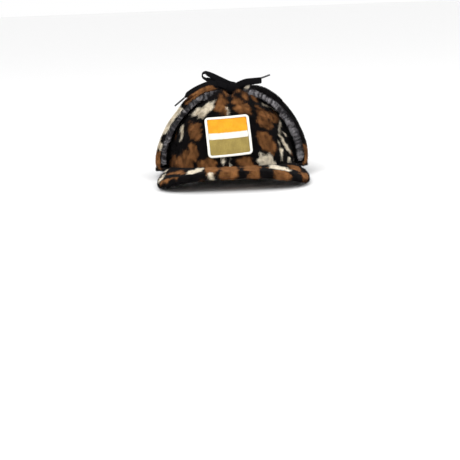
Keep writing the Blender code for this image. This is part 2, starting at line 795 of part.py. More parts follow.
def bow(cap):
    """The knot, two loops, two runs and two free ends with their aglets."""
    tied = Bow(cap)
    tied.knot()
    upright = Vector((0, 0, 1))
    lean = math.radians(LEFT_LOOP_LEAN)
    leaning = Vector((0, math.cos(lean), math.sin(lean)))
    tied.loop("lace_loop_left", LEFT_LOOP, -1, LEFT_LOOP_REACH, LEFT_LOOP_RISE, 0, leaning)
    right_size = (RIGHT_LOOP_REACH, RIGHT_LOOP_RISE, RIGHT_LOOP_SPREAD)
    tied.loop("lace_loop_right", RIGHT_LOOP, 1, *right_size, upright)
    left, right = Flap(-1, "left"), Flap(1, "right")
    tied.run(left)
    tied.run(right)
    lean = math.radians(LEFT_TAIL_LEAN)
    leaning = Vector((0, math.sin(lean), math.cos(lean)))
    tied.tail("left", tied.from_middle(LEFT_TAIL_START) + tied.on_flap(left, LEFT_TAIL, leaning), leaning)
    tied.tail("right", tied.from_middle(RIGHT_TAIL), upright)


def main():
    """Clears the scene's objects and builds the cap."""
    for old in list(bpy.data.objects):
        bpy.data.objects.remove(old, do_unlink=True)
    cap = Cap()
    crown(cap)
    brim(cap)
    flaps(cap)
    patch(cap)
    bow(cap)


if __name__ == "__main__":
    main()
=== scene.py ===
"""Looks of an earflap cap in printed fleece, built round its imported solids.

Lengths are in metres, +Z is up and the brim points towards -Y. Left and right are as seen
from the front. Every cloth piece is a finer copy of its solid with short strands of pile on it.
"""

from __future__ import annotations

import logging
import math
from dataclasses import dataclass, field
from enum import Enum

import bmesh
import bpy
import numpy as np
from mathutils import Matrix, Vector
from mathutils.bvhtree import BVHTree

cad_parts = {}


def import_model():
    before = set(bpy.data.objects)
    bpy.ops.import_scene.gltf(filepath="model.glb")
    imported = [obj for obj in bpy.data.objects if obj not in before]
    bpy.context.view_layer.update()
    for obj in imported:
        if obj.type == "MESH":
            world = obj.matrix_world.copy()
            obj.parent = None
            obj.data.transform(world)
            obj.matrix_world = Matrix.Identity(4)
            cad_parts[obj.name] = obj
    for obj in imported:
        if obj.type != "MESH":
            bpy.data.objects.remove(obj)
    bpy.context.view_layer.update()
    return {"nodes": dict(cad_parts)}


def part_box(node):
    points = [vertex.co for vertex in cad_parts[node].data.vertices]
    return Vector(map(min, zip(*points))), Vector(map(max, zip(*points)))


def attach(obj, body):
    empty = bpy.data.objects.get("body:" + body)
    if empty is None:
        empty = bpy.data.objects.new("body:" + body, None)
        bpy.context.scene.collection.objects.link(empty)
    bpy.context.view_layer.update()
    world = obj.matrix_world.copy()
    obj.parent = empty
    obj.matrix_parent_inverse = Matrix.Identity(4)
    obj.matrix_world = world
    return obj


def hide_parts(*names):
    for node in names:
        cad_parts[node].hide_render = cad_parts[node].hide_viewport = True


LOG = logging.getLogger("earflap_cap")
MM = 0.001
BODY = "root"
CROWN_NODES = (
    "crown_front_left",
    "crown_front_right",
    "crown_side_left",
    "crown_side_right",
    "crown_back_left",
    "crown_back_right",
)
FINER_LEVELS = 2
FLAT_ENOUGH = math.radians(35)
SQUARE_ENOUGH = math.radians(60)
SHARP_FROM = math.radians(48)
WELD = 0.01 * MM


def smooth_step(x: np.ndarray) -> np.ndarray:
    """0 up to x = 0, 1 from x = 1, and smooth between."""
    x = np.clip(x, 0.0, 1.0)
    return x * x * (3 - 2 * x)


def unit(rows: np.ndarray) -> np.ndarray:
    """Each row as a vector of length 1."""
    return rows / np.maximum(np.linalg.norm(rows, axis=1, keepdims=True), 1e-12)


def cloud(places: np.ndarray, size: float, seed: int) -> np.ndarray:
    """Smooth noise between -1 and 1.

    Args:
        places: Points, one a row.
        size: Width of a blob.
        seed: Which noise.

    Returns:
        One number for each point.
    """
    cells = places / size + 1000.0
    low = np.floor(cells).astype(np.int64)
    share = smooth_step(cells - low)
    total = np.zeros(len(places))
    for corner in np.ndindex(2, 2, 2):
        key = (low + np.array(corner)) @ np.array([73856093, 19349663, 83492791]) + seed * 7919
        key = (key ^ (key >> 13)) * 1274126177
        key = (key ^ (key >> 16)) & 0xFFFF
        weight = np.where(np.array(corner) > 0, share, 1 - share).prod(axis=1)
        total += weight * (key / 32767.5 - 1)
    return total


class Value:
    """A number on a node's socket, with Python's operators as Math nodes."""

    def __init__(self, look: Look, socket: bpy.types.NodeSocket) -> None:
        """Keeps the material and the socket."""
        self.look = look
        self.socket = socket

    def math(self, operation: str, *others: Value | float, swap: bool = False) -> Value:
        """A Math node on this value.

        Args:
            operation: The node's operation.
            others: Its other inputs.
            swap: Whether this value comes after the first of the others.

        Returns:
            The node's value.
        """
        terms = [self, *others]
        if swap:
            terms[0], terms[1] = terms[1], terms[0]
        made = self.look.node("ShaderNodeMath", {"operation": operation}, dict(enumerate(terms)))
        return Value(self.look, made.outputs[0])

    def __add__(self, other: Value | float) -> Value:
        """This and another added."""
        return self.math("ADD", other)

    def __radd__(self, other: Value | float) -> Value:
        """Another and this added."""
        return self.math("ADD", other)

    def __sub__(self, other: Value | float) -> Value:
        """Another taken from this."""
        return self.math("SUBTRACT", other)

    def __rsub__(self, other: Value | float) -> Value:
        """This taken from another."""
        return self.math("SUBTRACT", other, swap=True)

    def __mul__(self, other: Value | float) -> Value:
        """This times another."""
        return self.math("MULTIPLY", other)

    def __rmul__(self, other: Value | float) -> Value:
        """Another times this."""
        return self.math("MULTIPLY", other)

    def __truediv__(self, other: Value | float) -> Value:
        """This by another."""
        return self.math("DIVIDE", other)

    def __rtruediv__(self, other: Value | float) -> Value:
        """Another by this."""
        return self.math("DIVIDE", other, swap=True)

    def __abs__(self) -> Value:
        """This without its sign."""
        return self.math("ABSOLUTE")

    def sine(self) -> Value:
        """The sine of this."""
        return self.math("SINE")

    def part(self) -> Value:
        """What is past the whole number."""
        return self.math("FRACT")

    def whole(self) -> Value:
        """The whole number below."""
        return self.math("FLOOR")

    def eased(self, low: float, high: float) -> Value:
        """0 up to low, 1 from high, and smooth between."""
        made = self.look.node(
            "ShaderNodeMapRange",
            {"interpolation_type": "SMOOTHSTEP"},
            {"Value": self, "From Min": low, "From Max": high},
        )
        return Value(self.look, made.outputs["Result"])


class Look:
    """A material with a Principled shader, and the one method that adds any other node."""

    def __init__(self, name: str) -> None:
        """Starts the material."""
        self.material = bpy.data.materials.new(name)
        self.material.use_nodes = True
        self.tree = self.material.node_tree
        self.shader = self.tree.nodes["Principled BSDF"]

    def node(self, kind: str, settings: dict, inputs: dict) -> bpy.types.Node:
        """Adds a node.

        Args:
            kind: The node's type.
            settings: Its settings by name.
            inputs: A value or a link for each input, by name or by number.

        Returns:
            The node.
        """
        made = self.tree.nodes.new(kind)
        for name, value in settings.items():
            setattr(made, name, value)
        for name, value in inputs.items():
            self.feed(made.inputs[name], value)
        return made

    def feed(self, socket: bpy.types.NodeSocket, value: object) -> None:
        """Gives a socket its link or its value.

        Args:
            socket: The socket.
            value: A Value or another socket to link, or a plain value.
        """
        if isinstance(value, Value):
            value = value.socket
        if isinstance(value, bpy.types.NodeSocket):
            self.tree.links.new(value, socket)
        elif isinstance(value, tuple) and socket.type == "RGBA":
            socket.default_value = (*value, 1)
        else:
            socket.default_value = value

    def set(self, **inputs: object) -> None:
        """Gives the shader's sockets their links or values, with _ for each space of a name."""
        for name, value in inputs.items():
            self.feed(self.shader.inputs[name.replace("_", " ")], value)

    def place(self) -> bpy.types.NodeSocket:
        """The point in object coordinates."""
        return self.node("ShaderNodeTexCoord", {}, {}).outputs["Object"]

    def number(self, name: str) -> Value:
        """A number that the mesh holds at each point."""
        made = self.node("ShaderNodeAttribute", {"attribute_name": name}, {})
        return Value(self, made.outputs["Fac"])

    def noise(self, size: float, detail: float = 2.0, stretch: tuple = (1, 1, 1)) -> Value:
        """Noise between about 0 and 1.

        Args:
            size: Width of a blob.
            detail: How many finer layers it has.
            stretch: How much longer a blob is along each axis.

        Returns:
            The noise.
        """
        scale = tuple(1 / s for s in stretch)
        moved = self.node("ShaderNodeMapping", {}, {"Vector": self.place(), "Scale": scale})
        made = self.node(
            "ShaderNodeTexNoise",
            {},
            {"Vector": moved.outputs[0], "Scale": 1 / size, "Detail": detail, "Roughness": 0.55},
        )
        return Value(self, made.outputs["Fac"])

    def mix(self, share: Value | float, low: object, high: object) -> bpy.types.NodeSocket:
        """A colour between two colours.

        Args:
            share: 0 for the first colour, 1 for the second.
            low: The first colour.
            high: The second.

        Returns:
            The mixed colour.
        """
        made = self.node(
            "ShaderNodeMix", {"data_type": "RGBA"}, {"Factor": share, 6: low, 7: high}
        )
        return made.outputs[2]

    def shaded(self, colour: object, value: Value | float) -> bpy.types.NodeSocket:
        """A colour made darker or lighter."""
        made = self.node("ShaderNodeHueSaturation", {}, {"Value": value, "Color": colour})
        return made.outputs[0]

    def bump(self, height: Value, depth: float) -> bpy.types.NodeSocket:
        """A normal bent by a height that is depth metres for each 1."""
        inputs = {"Height": height, "Distance": depth, "Strength": 1.0}
        return self.node("ShaderNodeBump", {}, inputs).outputs[0]


@dataclass(frozen=True)
class MattPile:
    """What the printed fleece and the grey lining share: a soft matt surface with tufts."""

    roughness: float = 0.95
    shine: float = 0.05
    sheen: float = 0.02
    sheen_roughness: float = 0.6
    tuft_height: float = 1.2 * MM

    def dress(self, look: Look, colour: object, tufts: Value | None = None) -> bpy.types.Material:
        """Gives a material this surface.

        Args:
            look: The material.
            colour: Its colour.
            tufts: The height of its tufts, where it is the cloth under the strands.

        Returns:
            The finished material.
        """
        look.set(
            Base_Color=colour,
            Roughness=self.roughness,
            Specular_IOR_Level=self.shine,
            Sheen_Weight=self.sheen,
            Sheen_Roughness=self.sheen_roughness,
        )
        if tufts is not None:
            look.set(Normal=look.bump(tufts, self.tuft_height))
        return look.material


@dataclass(frozen=True)
class PrintedFleece(MattPile):
    """The printed fleece: near black with brown and cream patches."""

    black: tuple = (0.0045, 0.0035, 0.0038)
    brown: tuple = (0.285, 0.122, 0.042)
    deep_brown: tuple = (0.125, 0.051, 0.018)
    cream: tuple = (0.88, 0.79, 0.63)
    dull_cream: tuple = (0.56, 0.48, 0.36)
    inside: tuple = (0.012, 0.011, 0.012)
    feather: float = 0.7 * MM
    streak: float = 6 * MM
    fade: float = 3 * MM
    mottle: float = 4 * MM
    tuft: float = 2.4 * MM
    fray_size: float = 2.2 * MM
    ground_fray: float = 3 * MM
    strand_fray: float = 4.5 * MM
    usual_shade: float = 0.96

    def colour(self, look: Look, ragged: Value | float) -> bpy.types.NodeSocket:
        """The print's colour, from how far inside the brown and the cream patches a point is.

        Args:
            look: The material.
            ragged: How much further inside the point counts as, in metres.

        Returns:
            The colour.
        """
        soft = self.feather
        brown_depth = look.number("brown") + ragged
        brown = brown_depth.eased(-soft, soft)
        cream = (look.number("cream") + ragged).eased(-soft, soft)
        streaks = look.noise(self.streak, 4.0, (1, 1, 1.8)).eased(0.38, 0.60)
        inner = brown_depth.eased(0.0, self.fade)
        browns = look.mix(streaks * 0.6 + inner * 0.4, self.deep_brown, self.brown)
        mottled = look.noise(self.mottle, 3.0).eased(0.3, 0.6)
        creams = look.mix(mottled, self.dull_cream, self.cream)
        return look.mix(cream, look.mix(brown, self.black, browns), creams)

    def ground(self) -> bpy.types.Material:
        """The cloth under the pile, with painted shade between its tufts."""
        look = Look("fleece_ground")
        ragged = (look.noise(self.fray_size, 3.0) - 0.5) * self.ground_fray
        tufts = look.noise(self.tuft, 3.0)
        # Painted shade: the print darkens in the low places between the tufts that the bump raises.
        colour = look.shaded(self.colour(look, ragged), tufts.eased(0.25, 0.7) * 0.6 + 0.45)
        outside = look.number("outside").eased(0.2, 0.8)
        return self.dress(look, look.mix(outside, self.inside, colour), tufts)

    def strands(self) -> bpy.types.Material:
        """The strands of the pile, with painted shade towards their roots, less of it on the cream."""
        look = Look("fleece_strands")
        # Painted shade: each strand darkens towards its root, and the cream is lifted back towards its
        # own colour.
        light = look.number("shade") * (look.number("tip") * 0.5 + 0.55)
        pale = look.number("cream").eased(-self.feather, self.feather)
        light = light + (0.98 - light) * pale * 0.55
        ragged = (look.number("shade") - self.usual_shade) * self.strand_fray
        return self.dress(look, look.shaded(self.colour(look, ragged), light))


@dataclass(frozen=True)
class GreyPile(MattPile):
    """The grey curly lining."""

    light: tuple = (0.36, 0.345, 0.36)
    # Painted shade: the colour that the furrows between the curls darken to.
    furrow_shade: tuple = (0.045, 0.042, 0.046)
    sheen: float = 0.03
    tuft: float = 2.6 * MM

    def ground(self) -> bpy.types.Material:
        """The backing between the curls, with painted shade in the furrows and between the tufts."""
        look = Look("pile_ground")
        tufts = look.noise(self.tuft, 3.0)
        curls = look.number("curl").eased(-0.5, 0.7)
        return self.dress(look, look.mix(curls * tufts.eased(0.3, 0.6), self.furrow_shade, self.light), tufts)

    def strands(self) -> bpy.types.Material:
        """The curls, with painted shade at their roots and in the furrows."""
        look = Look("pile_strands")
        curls = look.number("curl").eased(-0.6, 0.6)
        light = look.number("shade") * (look.number("tip") * 0.7 + 0.4)
        return self.dress(look, look.shaded(look.mix(curls, self.furrow_shade, self.light), light))


@dataclass(frozen=True)
class StitchedThread:
    """Filled embroidery: upright threads side by side, in staggered stitches."""

    name: str
    colour: tuple
    shadow: tuple
    pitch: float = 0.55 * MM
    stitch: float = 4.2 * MM
    turn: float = math.radians(4)
    waver: float = 0.35 * MM
    stagger: float = 0.37
    depth: float = 0.18 * MM
    roughness: float = 0.5

    def material(self) -> bpy.types.Material:
        """The thread's material."""
        look = Look(self.name)
        turned = look.node(
            "ShaderNodeMapping", {}, {"Vector": look.place(), "Rotation": (0, self.turn, 0)}
        )
        axes = look.node("ShaderNodeSeparateXYZ", {}, {0: turned.outputs[0]})
        across = Value(look, axes.outputs["X"])
        up = Value(look, axes.outputs["Z"])
        waver = (look.noise(3 * MM, 1.0) - 0.5) * self.waver
        row = (across + waver) / self.pitch
        ridge = abs((row * math.pi).sine())
        stagger = (row.whole() * self.stagger).part()
        along = (up / self.stitch + stagger).part()
        ends = along.eased(0.0, 0.08) * (1 - along.eased(0.92, 1.0))
        height = ridge * 0.6 + ends * 0.4
        tint = look.noise(0.5 * MM, 2.0, (1, 1, 9)).eased(0.3, 0.7)
        patches = look.noise(9 * MM, 2.0, (1, 1, 2)).eased(0.35, 0.65)
        share = (height * 0.55 + tint * 0.3 + patches * 0.25) * look.number("shade")
        look.set(
            Base_Color=look.mix(share, self.shadow, self.colour),
            Roughness=self.roughness,
            Specular_IOR_Level=0.2,
            Sheen_Weight=0.02,
            Normal=look.bump(height, self.depth),
        )
        return look.material


@dataclass(frozen=True)
class OverlockThread:
    """The patch's border: thread wrapped round and round it."""

    colour: tuple = (0.93, 0.91, 0.84)
    shadow: tuple = (0.66, 0.64, 0.57)
    pitch: float = 0.9 * MM
    depth: float = 0.15 * MM

    def material(self) -> bpy.types.Material:
        """The thread's material."""
        look = Look("overlock_thread")
        ridge = abs((look.number("round") * (math.pi / self.pitch)).sine())
        tint = look.noise(1.5 * MM, 2.0).eased(0.3, 0.7)
        look.set(
            Base_Color=look.mix(ridge * 0.6 + tint * 0.4, self.shadow, self.colour),
            Roughness=0.5,
            Sheen_Weight=0.15,
            Normal=look.bump(ridge, self.depth),
        )
        return look.material


@dataclass(frozen=True)
class BraidedLace:
    """Flat black lace, braided in slanting ribs."""

    colour: tuple = (0.0058, 0.0055, 0.0064)
    shadow: tuple = (0.0009, 0.0009, 0.0011)
    pitch: float = 1.5 * MM
    row: float = 1.1 * MM
    fuzz: float = 0.7 * MM
    slant: float = 0.8
    depth: float = 0.25 * MM

    def material(self) -> bpy.types.Material:
        """The lace's material."""
        look = Look("braided_lace")
        place = look.node("ShaderNodeUVMap", {"uv_map": "Lace"}, {}).outputs[0]
        axes = look.node("ShaderNodeSeparateXYZ", {}, {0: place})
        along = Value(look, axes.outputs["X"])
        across = Value(look, axes.outputs["Y"])
        slanted = along + abs(across) * self.slant
        ribs = abs((slanted * (math.pi / self.pitch)).sine())
        rows = abs((across * (math.pi / self.row)).sine())
        height = ribs * 0.65 + rows * 0.35
        fuzz = look.noise(self.fuzz, 2.0).eased(0.3, 0.7)
        look.set(
            Base_Color=look.mix(height * 0.7 + fuzz * 0.3, self.shadow, self.colour),
            Roughness=0.8,
            Specular_IOR_Level=0.05,
            Sheen_Weight=0.01,
            Sheen_Roughness=0.4,
            Normal=look.bump(height, self.depth),
        )
        return look.material


@dataclass(frozen=True)
class MouldedTip:
    """The glossy film round a lace's end."""

    colour: tuple = (0.012, 0.012, 0.014)
    scuffed: tuple = (0.03, 0.03, 0.034)
    mark: float = 0.8 * MM
    depth: float = 0.05 * MM

    def material(self) -> bpy.types.Material:
        """The tip's material."""
        look = Look("moulded_tip")
        marks = look.noise(self.mark, 3.0, (1, 1, 4))
        look.set(
            Base_Color=look.mix(marks.eased(0.4, 0.8), self.colour, self.scuffed),
            Roughness=marks * 0.25 + 0.2,
            Coat_Weight=0.3,
            Normal=look.bump(marks, self.depth),
        )
        return look.material


@dataclass(frozen=True)
class PaleMatt:
    """The floor's and the backdrop's paint."""

    name: str
    colour: tuple = (0.93, 0.93, 0.93)

    def material(self) -> bpy.types.Material:
        """The paint's material."""
        look = Look(self.name)
        look.set(Base_Color=self.colour, Roughness=0.9)
        return look.material


@dataclass
class Studio:
    """The camera at the photograph's angle, the floor and the soft light."""

    middle: Vector
    target_height: float = 62 * MM
    target_across: float = 231.5
    target_down: float = 127.5
    frame: float = 460
    distance: float = 1.8
    lens: float = 106
    sensor: float = 36
    elevation: float = math.radians(6.0)
    roll: float = math.radians(2.2)
    floor_size: float = 12

    def __post_init__(self) -> None:
        """Works out where the camera stands and how it is turned."""
        target = self.middle + Vector((0, 0, self.target_height))
        back = Vector((0, -math.cos(self.elevation), math.sin(self.elevation)))
        pixel = self.sensor / self.frame / self.lens
        half = self.frame / 2
        across, up = self.target_across - half, half - self.target_down
        self.seen = Vector((across * pixel, up * pixel, -1))
        look = (-back).to_track_quat("-Z", "Y").to_matrix()
        turn = Matrix.Rotation(-self.roll, 3, "Z")
        aim = (turn @ self.seen.normalized()).rotation_difference(Vector((0, 0, -1))).to_matrix()
        self.place = target + back * self.distance
        self.turned = look @ aim @ turn

    def ray(self, across: float, up: float) -> tuple:
        """A line of sight.

        Args:
            across: How far right of the target, in metres at its distance.
            up: How far above it.

        Returns:
            The camera's place, the way from there, and how far off the target is.
        """
        seen = self.seen + Vector((across, up, 0)) / self.distance
        return self.place, (self.turned @ seen).normalized(), self.distance

    def camera(self) -> None:
        """Sets the camera so that the crown shows where the photograph has it."""
        data = bpy.data.cameras.new("camera")
        data.lens = self.lens
        data.sensor_width = self.sensor
        camera = bpy.data.objects.new("camera", data)
        camera.matrix_world = Matrix.Translation(self.place) @ self.turned.to_4x4()
        bpy.context.scene.collection.objects.link(camera)
        bpy.context.scene.camera = camera

    def light(self, name: str, place: tuple, size: float, power: float) -> None:
        """A square soft light that faces the cap.

        Args:
            name: Its name.
            place: Where it stands.
            size: Its width.
            power: Its power in watts.
        """
        data = bpy.data.lights.new(name, "AREA")
        data.shape = "SQUARE"
        data.size = size
        data.energy = power
        lamp = bpy.data.objects.new(name, data)
        spot = Vector(place)
        aim = (self.middle + Vector((0, 0, self.target_height)) - spot).to_track_quat("-Z", "Y")
        lamp.matrix_world = Matrix.Translation(spot) @ aim.to_matrix().to_4x4()
        bpy.context.scene.collection.objects.link(lamp)

    def floor(self) -> None:
        """A wide pale floor under the cap."""
        form = bmesh.new()
        bmesh.ops.create_grid(form, x_segments=1, y_segments=1, size=self.floor_size)
        mesh = mesh_of(form, "floor")
        floor = bpy.data.objects.new("floor", mesh)
        mesh.materials.append(PaleMatt("floor_paint").material())
        bpy.context.scene.collection.objects.link(floor)

    def world(self) -> None:
        """White surroundings."""
        world = bpy.data.worlds.new("studio")
        world.use_nodes = True
        ground = world.node_tree.nodes["Background"]
        ground.inputs["Color"].default_value = (1, 1, 1, 1)
        ground.inputs["Strength"].default_value = 1.0
        bpy.context.scene.world = world
        bpy.context.scene.view_settings.view_transform = "Standard"

    def build(self) -> None:
        """Makes the floor and the light."""
        self.floor()
        self.world()
        self.light("key", (-0.9, -1.9, 1.7), 1.2, 30)
        self.light("fill", (1.2, -1.6, 1.1), 1.2, 14)


@dataclass(frozen=True)
class Side:
    """A side that a chart of the print is drawn from, without perspective."""

    across: tuple
    upwards: tuple
    way: tuple
    middle: Vector
    far: float = 400 * MM

    def ray(self, across: float, up: float) -> tuple:
        """A line through the chart.

        Args:
            across: How far across the chart, in metres.
            up: How far up the chart, in metres.

        Returns:
            A point before the cap, the way from there, and how far off the cap's middle is.
        """
        way = Vector(self.way)
        place = self.middle + Vector(self.across) * across + Vector(self.upwards) * up
        return place - way * self.far, way, self.far


class Seen(Enum):
    """What a chart of the print is drawn from: the photograph's camera, or a side of the cap."""

    PICTURE = None
    BACK = ((-1, 0, 0), (0, 0, 1), (0, -1, 0))
    LEFT = ((0, 1, 0), (0, 0, 1), (1, 0, 0))
    RIGHT = ((0, 1, 0), (0, 0, 1), (-1, 0, 0))
    BELOW = ((1, 0, 0), (0, 1, 0), (0, 0, 1))


@dataclass
class Print:
    """Part of the print: strokes of brown and cream on black, charted.

    A row has the stroke's two ends, across and up the chart, and its half width at each, all in
    millimetres. The picture's chart lies on a plane through the crown's middle, and its zero is
    the point that the camera aims by.
    """

    seen: Seen
    brown: list = field(default_factory=list)
    cream: list = field(default_factory=list)

    def strokes(self, rows: list, tree: BVHTree, view: Studio | Side) -> list:
        """Drops strokes on the cloth.

        Args:
            rows: The strokes.
            tree: The cloth.
            view: What the chart is drawn from.

        Returns:
            For each stroke its two ends and its two half widths, in metres.
        """
        found = []
        for a, b, c, d, thick, thin in rows:
            ends = []
            for across, up in ((a, b), (c, d)):
                place, way, far = view.ray(across * MM, up * MM)
                hit = tree.ray_cast(place, way)[0]
                if hit is None:
                    hit = tree.find_nearest(place + way * far)[0]
                ends.append(np.array(hit))
            found.append((*ends, thick * MM, thin * MM))
        return found


CROWN_PRINT = Print(
    Seen.PICTURE,
    brown=[
        (-8, 39, -6.5, 47, 1.5, 2.2), (2.5, 39, 2, 46, 0.8, 1.4), (9, 39, 9.5, 46, 1.0, 1.6),
        (-11.5, 36.5, -13.5, 31, 2.4, 5.6), (-16, 29, -8, 22, 5.0, 5.0),
        (-18, 27, -18, 24, 4.0, 3.5), (-54, 6, -52, -9, 4.0, 5.0), (-47, 0, -46, -9, 7.0, 6.0),
        (-56, 9, -50, 3, 1.5, 3.5), (-52, -24, -51, -36, 4.5, 6.0), (-60, -35, -62, -47, 6.5, 9.0),
        (-68, -42, -80, -49, 6.0, 3.0), (-73, -50, -58, -50, 4.5, 5.5),
        (-55, -40, -55, -53, 6.0, 4.0), (-87, -49, -74, -37, 1.6, 1.2),
        (-83, -49.5, -74, -43, 3.0, 4.6), (-40, -48, -28, -46, 5.5, 6.5),
        (-40, -52, -27, -51, 4.0, 4.5), (4, 35.5, 9.5, 31, 2.4, 4.6), (11, 27, 19, 27, 5.5, 5.5),
        (12, 23, 20, 23, 4.5, 4.5), (13, 45, 25, 41, 1.2, 2.2), (25, 41, 31, 36, 3.0, 3.5),
        (14, 40, 17, 36, 2.0, 2.2), (36, 26, 42, 14, 4.5, 8.0), (46, 19, 55, 15, 8.0, 7.0),
        (42, 9, 49, 7, 8.0, 7.0), (57, 21, 60, 10, 3.5, 3.0), (45, 3, 50, 3, 3.5, 2.5),
        (40, -8, 46, -12, 3.5, 6.0), (41, -14, 46, -20, 5.5, 7.0), (49, -15, 53, -25, 6.5, 6.0),
        (52, -28, 56, -35, 4.0, 2.5), (11, -44, 21, -46, 5.0, 5.5), (14, -49, 24, -49, 3.5, 3.0),
        (75, -28, 81, -33, 2.0, 1.4), (-72, 2, -74, -14, 1.0, 1.0),
    ],
    cream=[
        (-46, 21, -32, 26, 6.0, 7.5), (-42, 18, -37, 18, 4.5, 4.5), (-36, 28, -24, 33, 4.6, 1.2),
        (-56, 17, -48, 20, 1.2, 3.0), (-26, 40, -18, 43, 1.1, 0.9), (-5, 26, -4, 17, 1.4, 1.4),
        (-65, 4, -67, -14, 1.8, 2.2), (-10.5, -39, -10.5, -52, 1.5, 1.3),
        (-2.5, -40, -2.5, -51, 1.3, 1.2), (42, 31, 50, 28, 1.6, 2.2), (50, 28, 60, 21, 1.8, 1.1),
        (64, 13, 64, -6, 1.1, 1.2), (38, -33, 41, -39, 1.4, 3.0), (42, -43, 51, -44, 6.0, 7.0),
        (40, -48, 56, -48, 3.0, 3.5), (64, -9, 70, -19, 2.0, 3.4), (70, -20, 77, -29, 3.2, 2.4),
        (63, -18, 66, -29, 1.4, 2.4), (66, -30, 69, -43, 2.2, 1.5), (76, -41, 79, -49, 2.0, 3.4),
        (84, -41, 85, -46, 1.5, 1.5), (67, -3, 71, -9, 1.2, 1.0),
    ],
)
BRIM_PRINT = Print(
    Seen.PICTURE,
    brown=[
        (-27, -54, -26, -60.5, 6.5, 6.0), (-3, -54, -3, -60.5, 9.0, 9.0),
        (-9, -63, 3, -62.8, 4.2, 4.2), (27, -52.5, 28, -57.5, 8.0, 8.0),
        (27, -63.4, 33, -63.1, 3.4, 3.4), (66, -59.5, 69, -62, 6.5, 6.5),
        (62, -66, 73, -67.5, 3.8, 3.8), (84, -53, 86, -57, 5.0, 5.0), (95, -62, 97, -68, 3.8, 4.2),
        (-82, -62.5, -66, -61.5, 2.6, 2.0), (-70, -59, -69, -61.5, 4.0, 4.0),
        (-93, -73.5, -84, -70, 2.4, 2.2), (-84, -70, -73, -67.5, 2.2, 1.4),
        (-39, -70.5, -30, -71.5, 0.9, 0.9),
    ],
    cream=[
        (-44, -56.5, -46, -60, 4.6, 4.6), (-52, -58.5, -53.5, -62, 4.2, 3.8),
        (-26.5, -63, -25, -69, 2.6, 2.2), (57, -52, 58, -55.5, 5.5, 5.5),
        (66, -54, 67, -57, 5.0, 4.6), (73, -56.5, 74, -58.5, 3.0, 2.4),
        (-97, -72, -93, -69.5, 1.5, 1.1), (-99, -75, -95, -72.5, 1.5, 1.3),
        (-92, -62, -88, -60.5, 1.6, 1.6), (4, -69.6, 21, -70.4, 0.8, 0.7),
    ],
)
LEFT_EDGE_PRINT = Print(
    Seen.PICTURE,
    brown=[
        (-24, 51, -36, 47, 4.0, 4.5), (-36, 47, -52, 39, 4.5, 4.5), (-52, 39, -60, 34, 4.0, 2.5),
        (-97, -34, -98, -48, 4.0, 4.5),
    ],
    cream=[
        (-72, 17, -80, 6, 4.0, 4.5), (-80, 6, -86, -4, 4.5, 4.0), (-85, -8, -88, -13, 2.0, 2.0),
        (-89, -15, -94, -26, 3.6, 3.2),
    ],
)
RIGHT_EDGE_PRINT = Print(
    Seen.PICTURE,
    brown=[
        (97, -26, 98, -40, 2.5, 3.0), (97, -42, 90, -47, 3.0, 3.0),
    ],
    cream=[
        (18, 53, 22, 54, 1.5, 1.5),
    ],
)
LEFT_SIDE_PRINT = Print(
    Seen.LEFT,
    brown=[
        (-8, 112, -16, 104, 9.0, 8.0), (-30, 30, -6, 22, 9.0, 8.0), (20, 88, 36, 64, 11.0, 10.0),
        (24, 32, 42, 36, 10.0, 9.0), (8, 102, 20, 104, 6.0, 5.0), (62, 62, 64, 48, 7.0, 6.0),
    ],
    cream=[
        (-26, 86, -22, 66, 9.0, 9.0), (-18, 78, 4, 62, 9.0, 7.0), (-30, 52, -14, 42, 5.0, 4.0),
        (12, 56, 18, 40, 3.0, 3.0), (52, 38, 58, 22, 4.0, 4.0), (50, 84, 54, 72, 3.0, 3.0),
    ],
)
RIGHT_SIDE_PRINT = Print(
    Seen.RIGHT,
    brown=[
        (-30, 34, -20, 18, 7.0, 7.0), (-6, 92, 16, 76, 9.0, 10.0), (4, 46, 26, 36, 9.0, 9.0),
        (50, 30, 60, 22, 7.0, 7.0), (44, 84, 48, 72, 6.0, 6.0), (26, 106, 34, 98, 5.0, 5.0),
    ],
    cream=[
        (30, 68, 44, 52, 7.0, 5.0), (-6, 25, 6, 16, 3.0, 3.0), (-10, 66, -8, 54, 3.0, 2.0),
        (62, 60, 66, 44, 4.0, 3.0),
    ],
)
BACK_PRINT = Print(
    Seen.BACK,
    brown=[
        (-34, 78, -22, 64, 9.0, 8.0), (-46, 50, -40, 34, 8.0, 7.0), (-16, 98, -4, 88, 6.0, 7.0),
        (-14, 46, 2, 34, 8.0, 8.0), (16, 74, 28, 62, 9.0, 8.0), (34, 92, 40, 82, 6.0, 6.0),
        (42, 46, 54, 30, 8.0, 7.0), (-20, 22, -6, 24, 4.0, 4.0), (20, 26, 30, 22, 5.0, 5.0),
        (-68, 74, -62, 60, 5.0, 5.0), (-72, 34, -64, 22, 6.0, 6.0), (64, 70, 70, 56, 5.0, 5.0),
        (6, 104, 18, 98, 4.0, 4.0),
    ],
    cream=[
        (-8, 72, 4, 60, 6.0, 5.0), (-56, 76, -50, 66, 4.0, 4.0), (44, 66, 52, 58, 4.0, 4.0),
        (-32, 28, -26, 18, 4.0, 4.0), (8, 22, 8, 34, 2.2, 2.0), (28, 44, 30, 36, 2.5, 2.5),
        (-30, 96, -24, 90, 3.0, 3.0), (22, 88, 26, 80, 2.5, 2.5),
    ],
)
UNDER_BRIM_PRINT = Print(
    Seen.BELOW,
    brown=[
        (-60, -128, -48, -120, 8.0, 7.0), (-6, -132, 12, -128, 8.0, 8.0),
        (44, -128, 58, -122, 8.0, 7.0),
    ],
    cream=[
        (24, -140, 32, -132, 4.0, 4.0), (-30, -118, -22, -124, 4.0, 4.0),
    ],
)


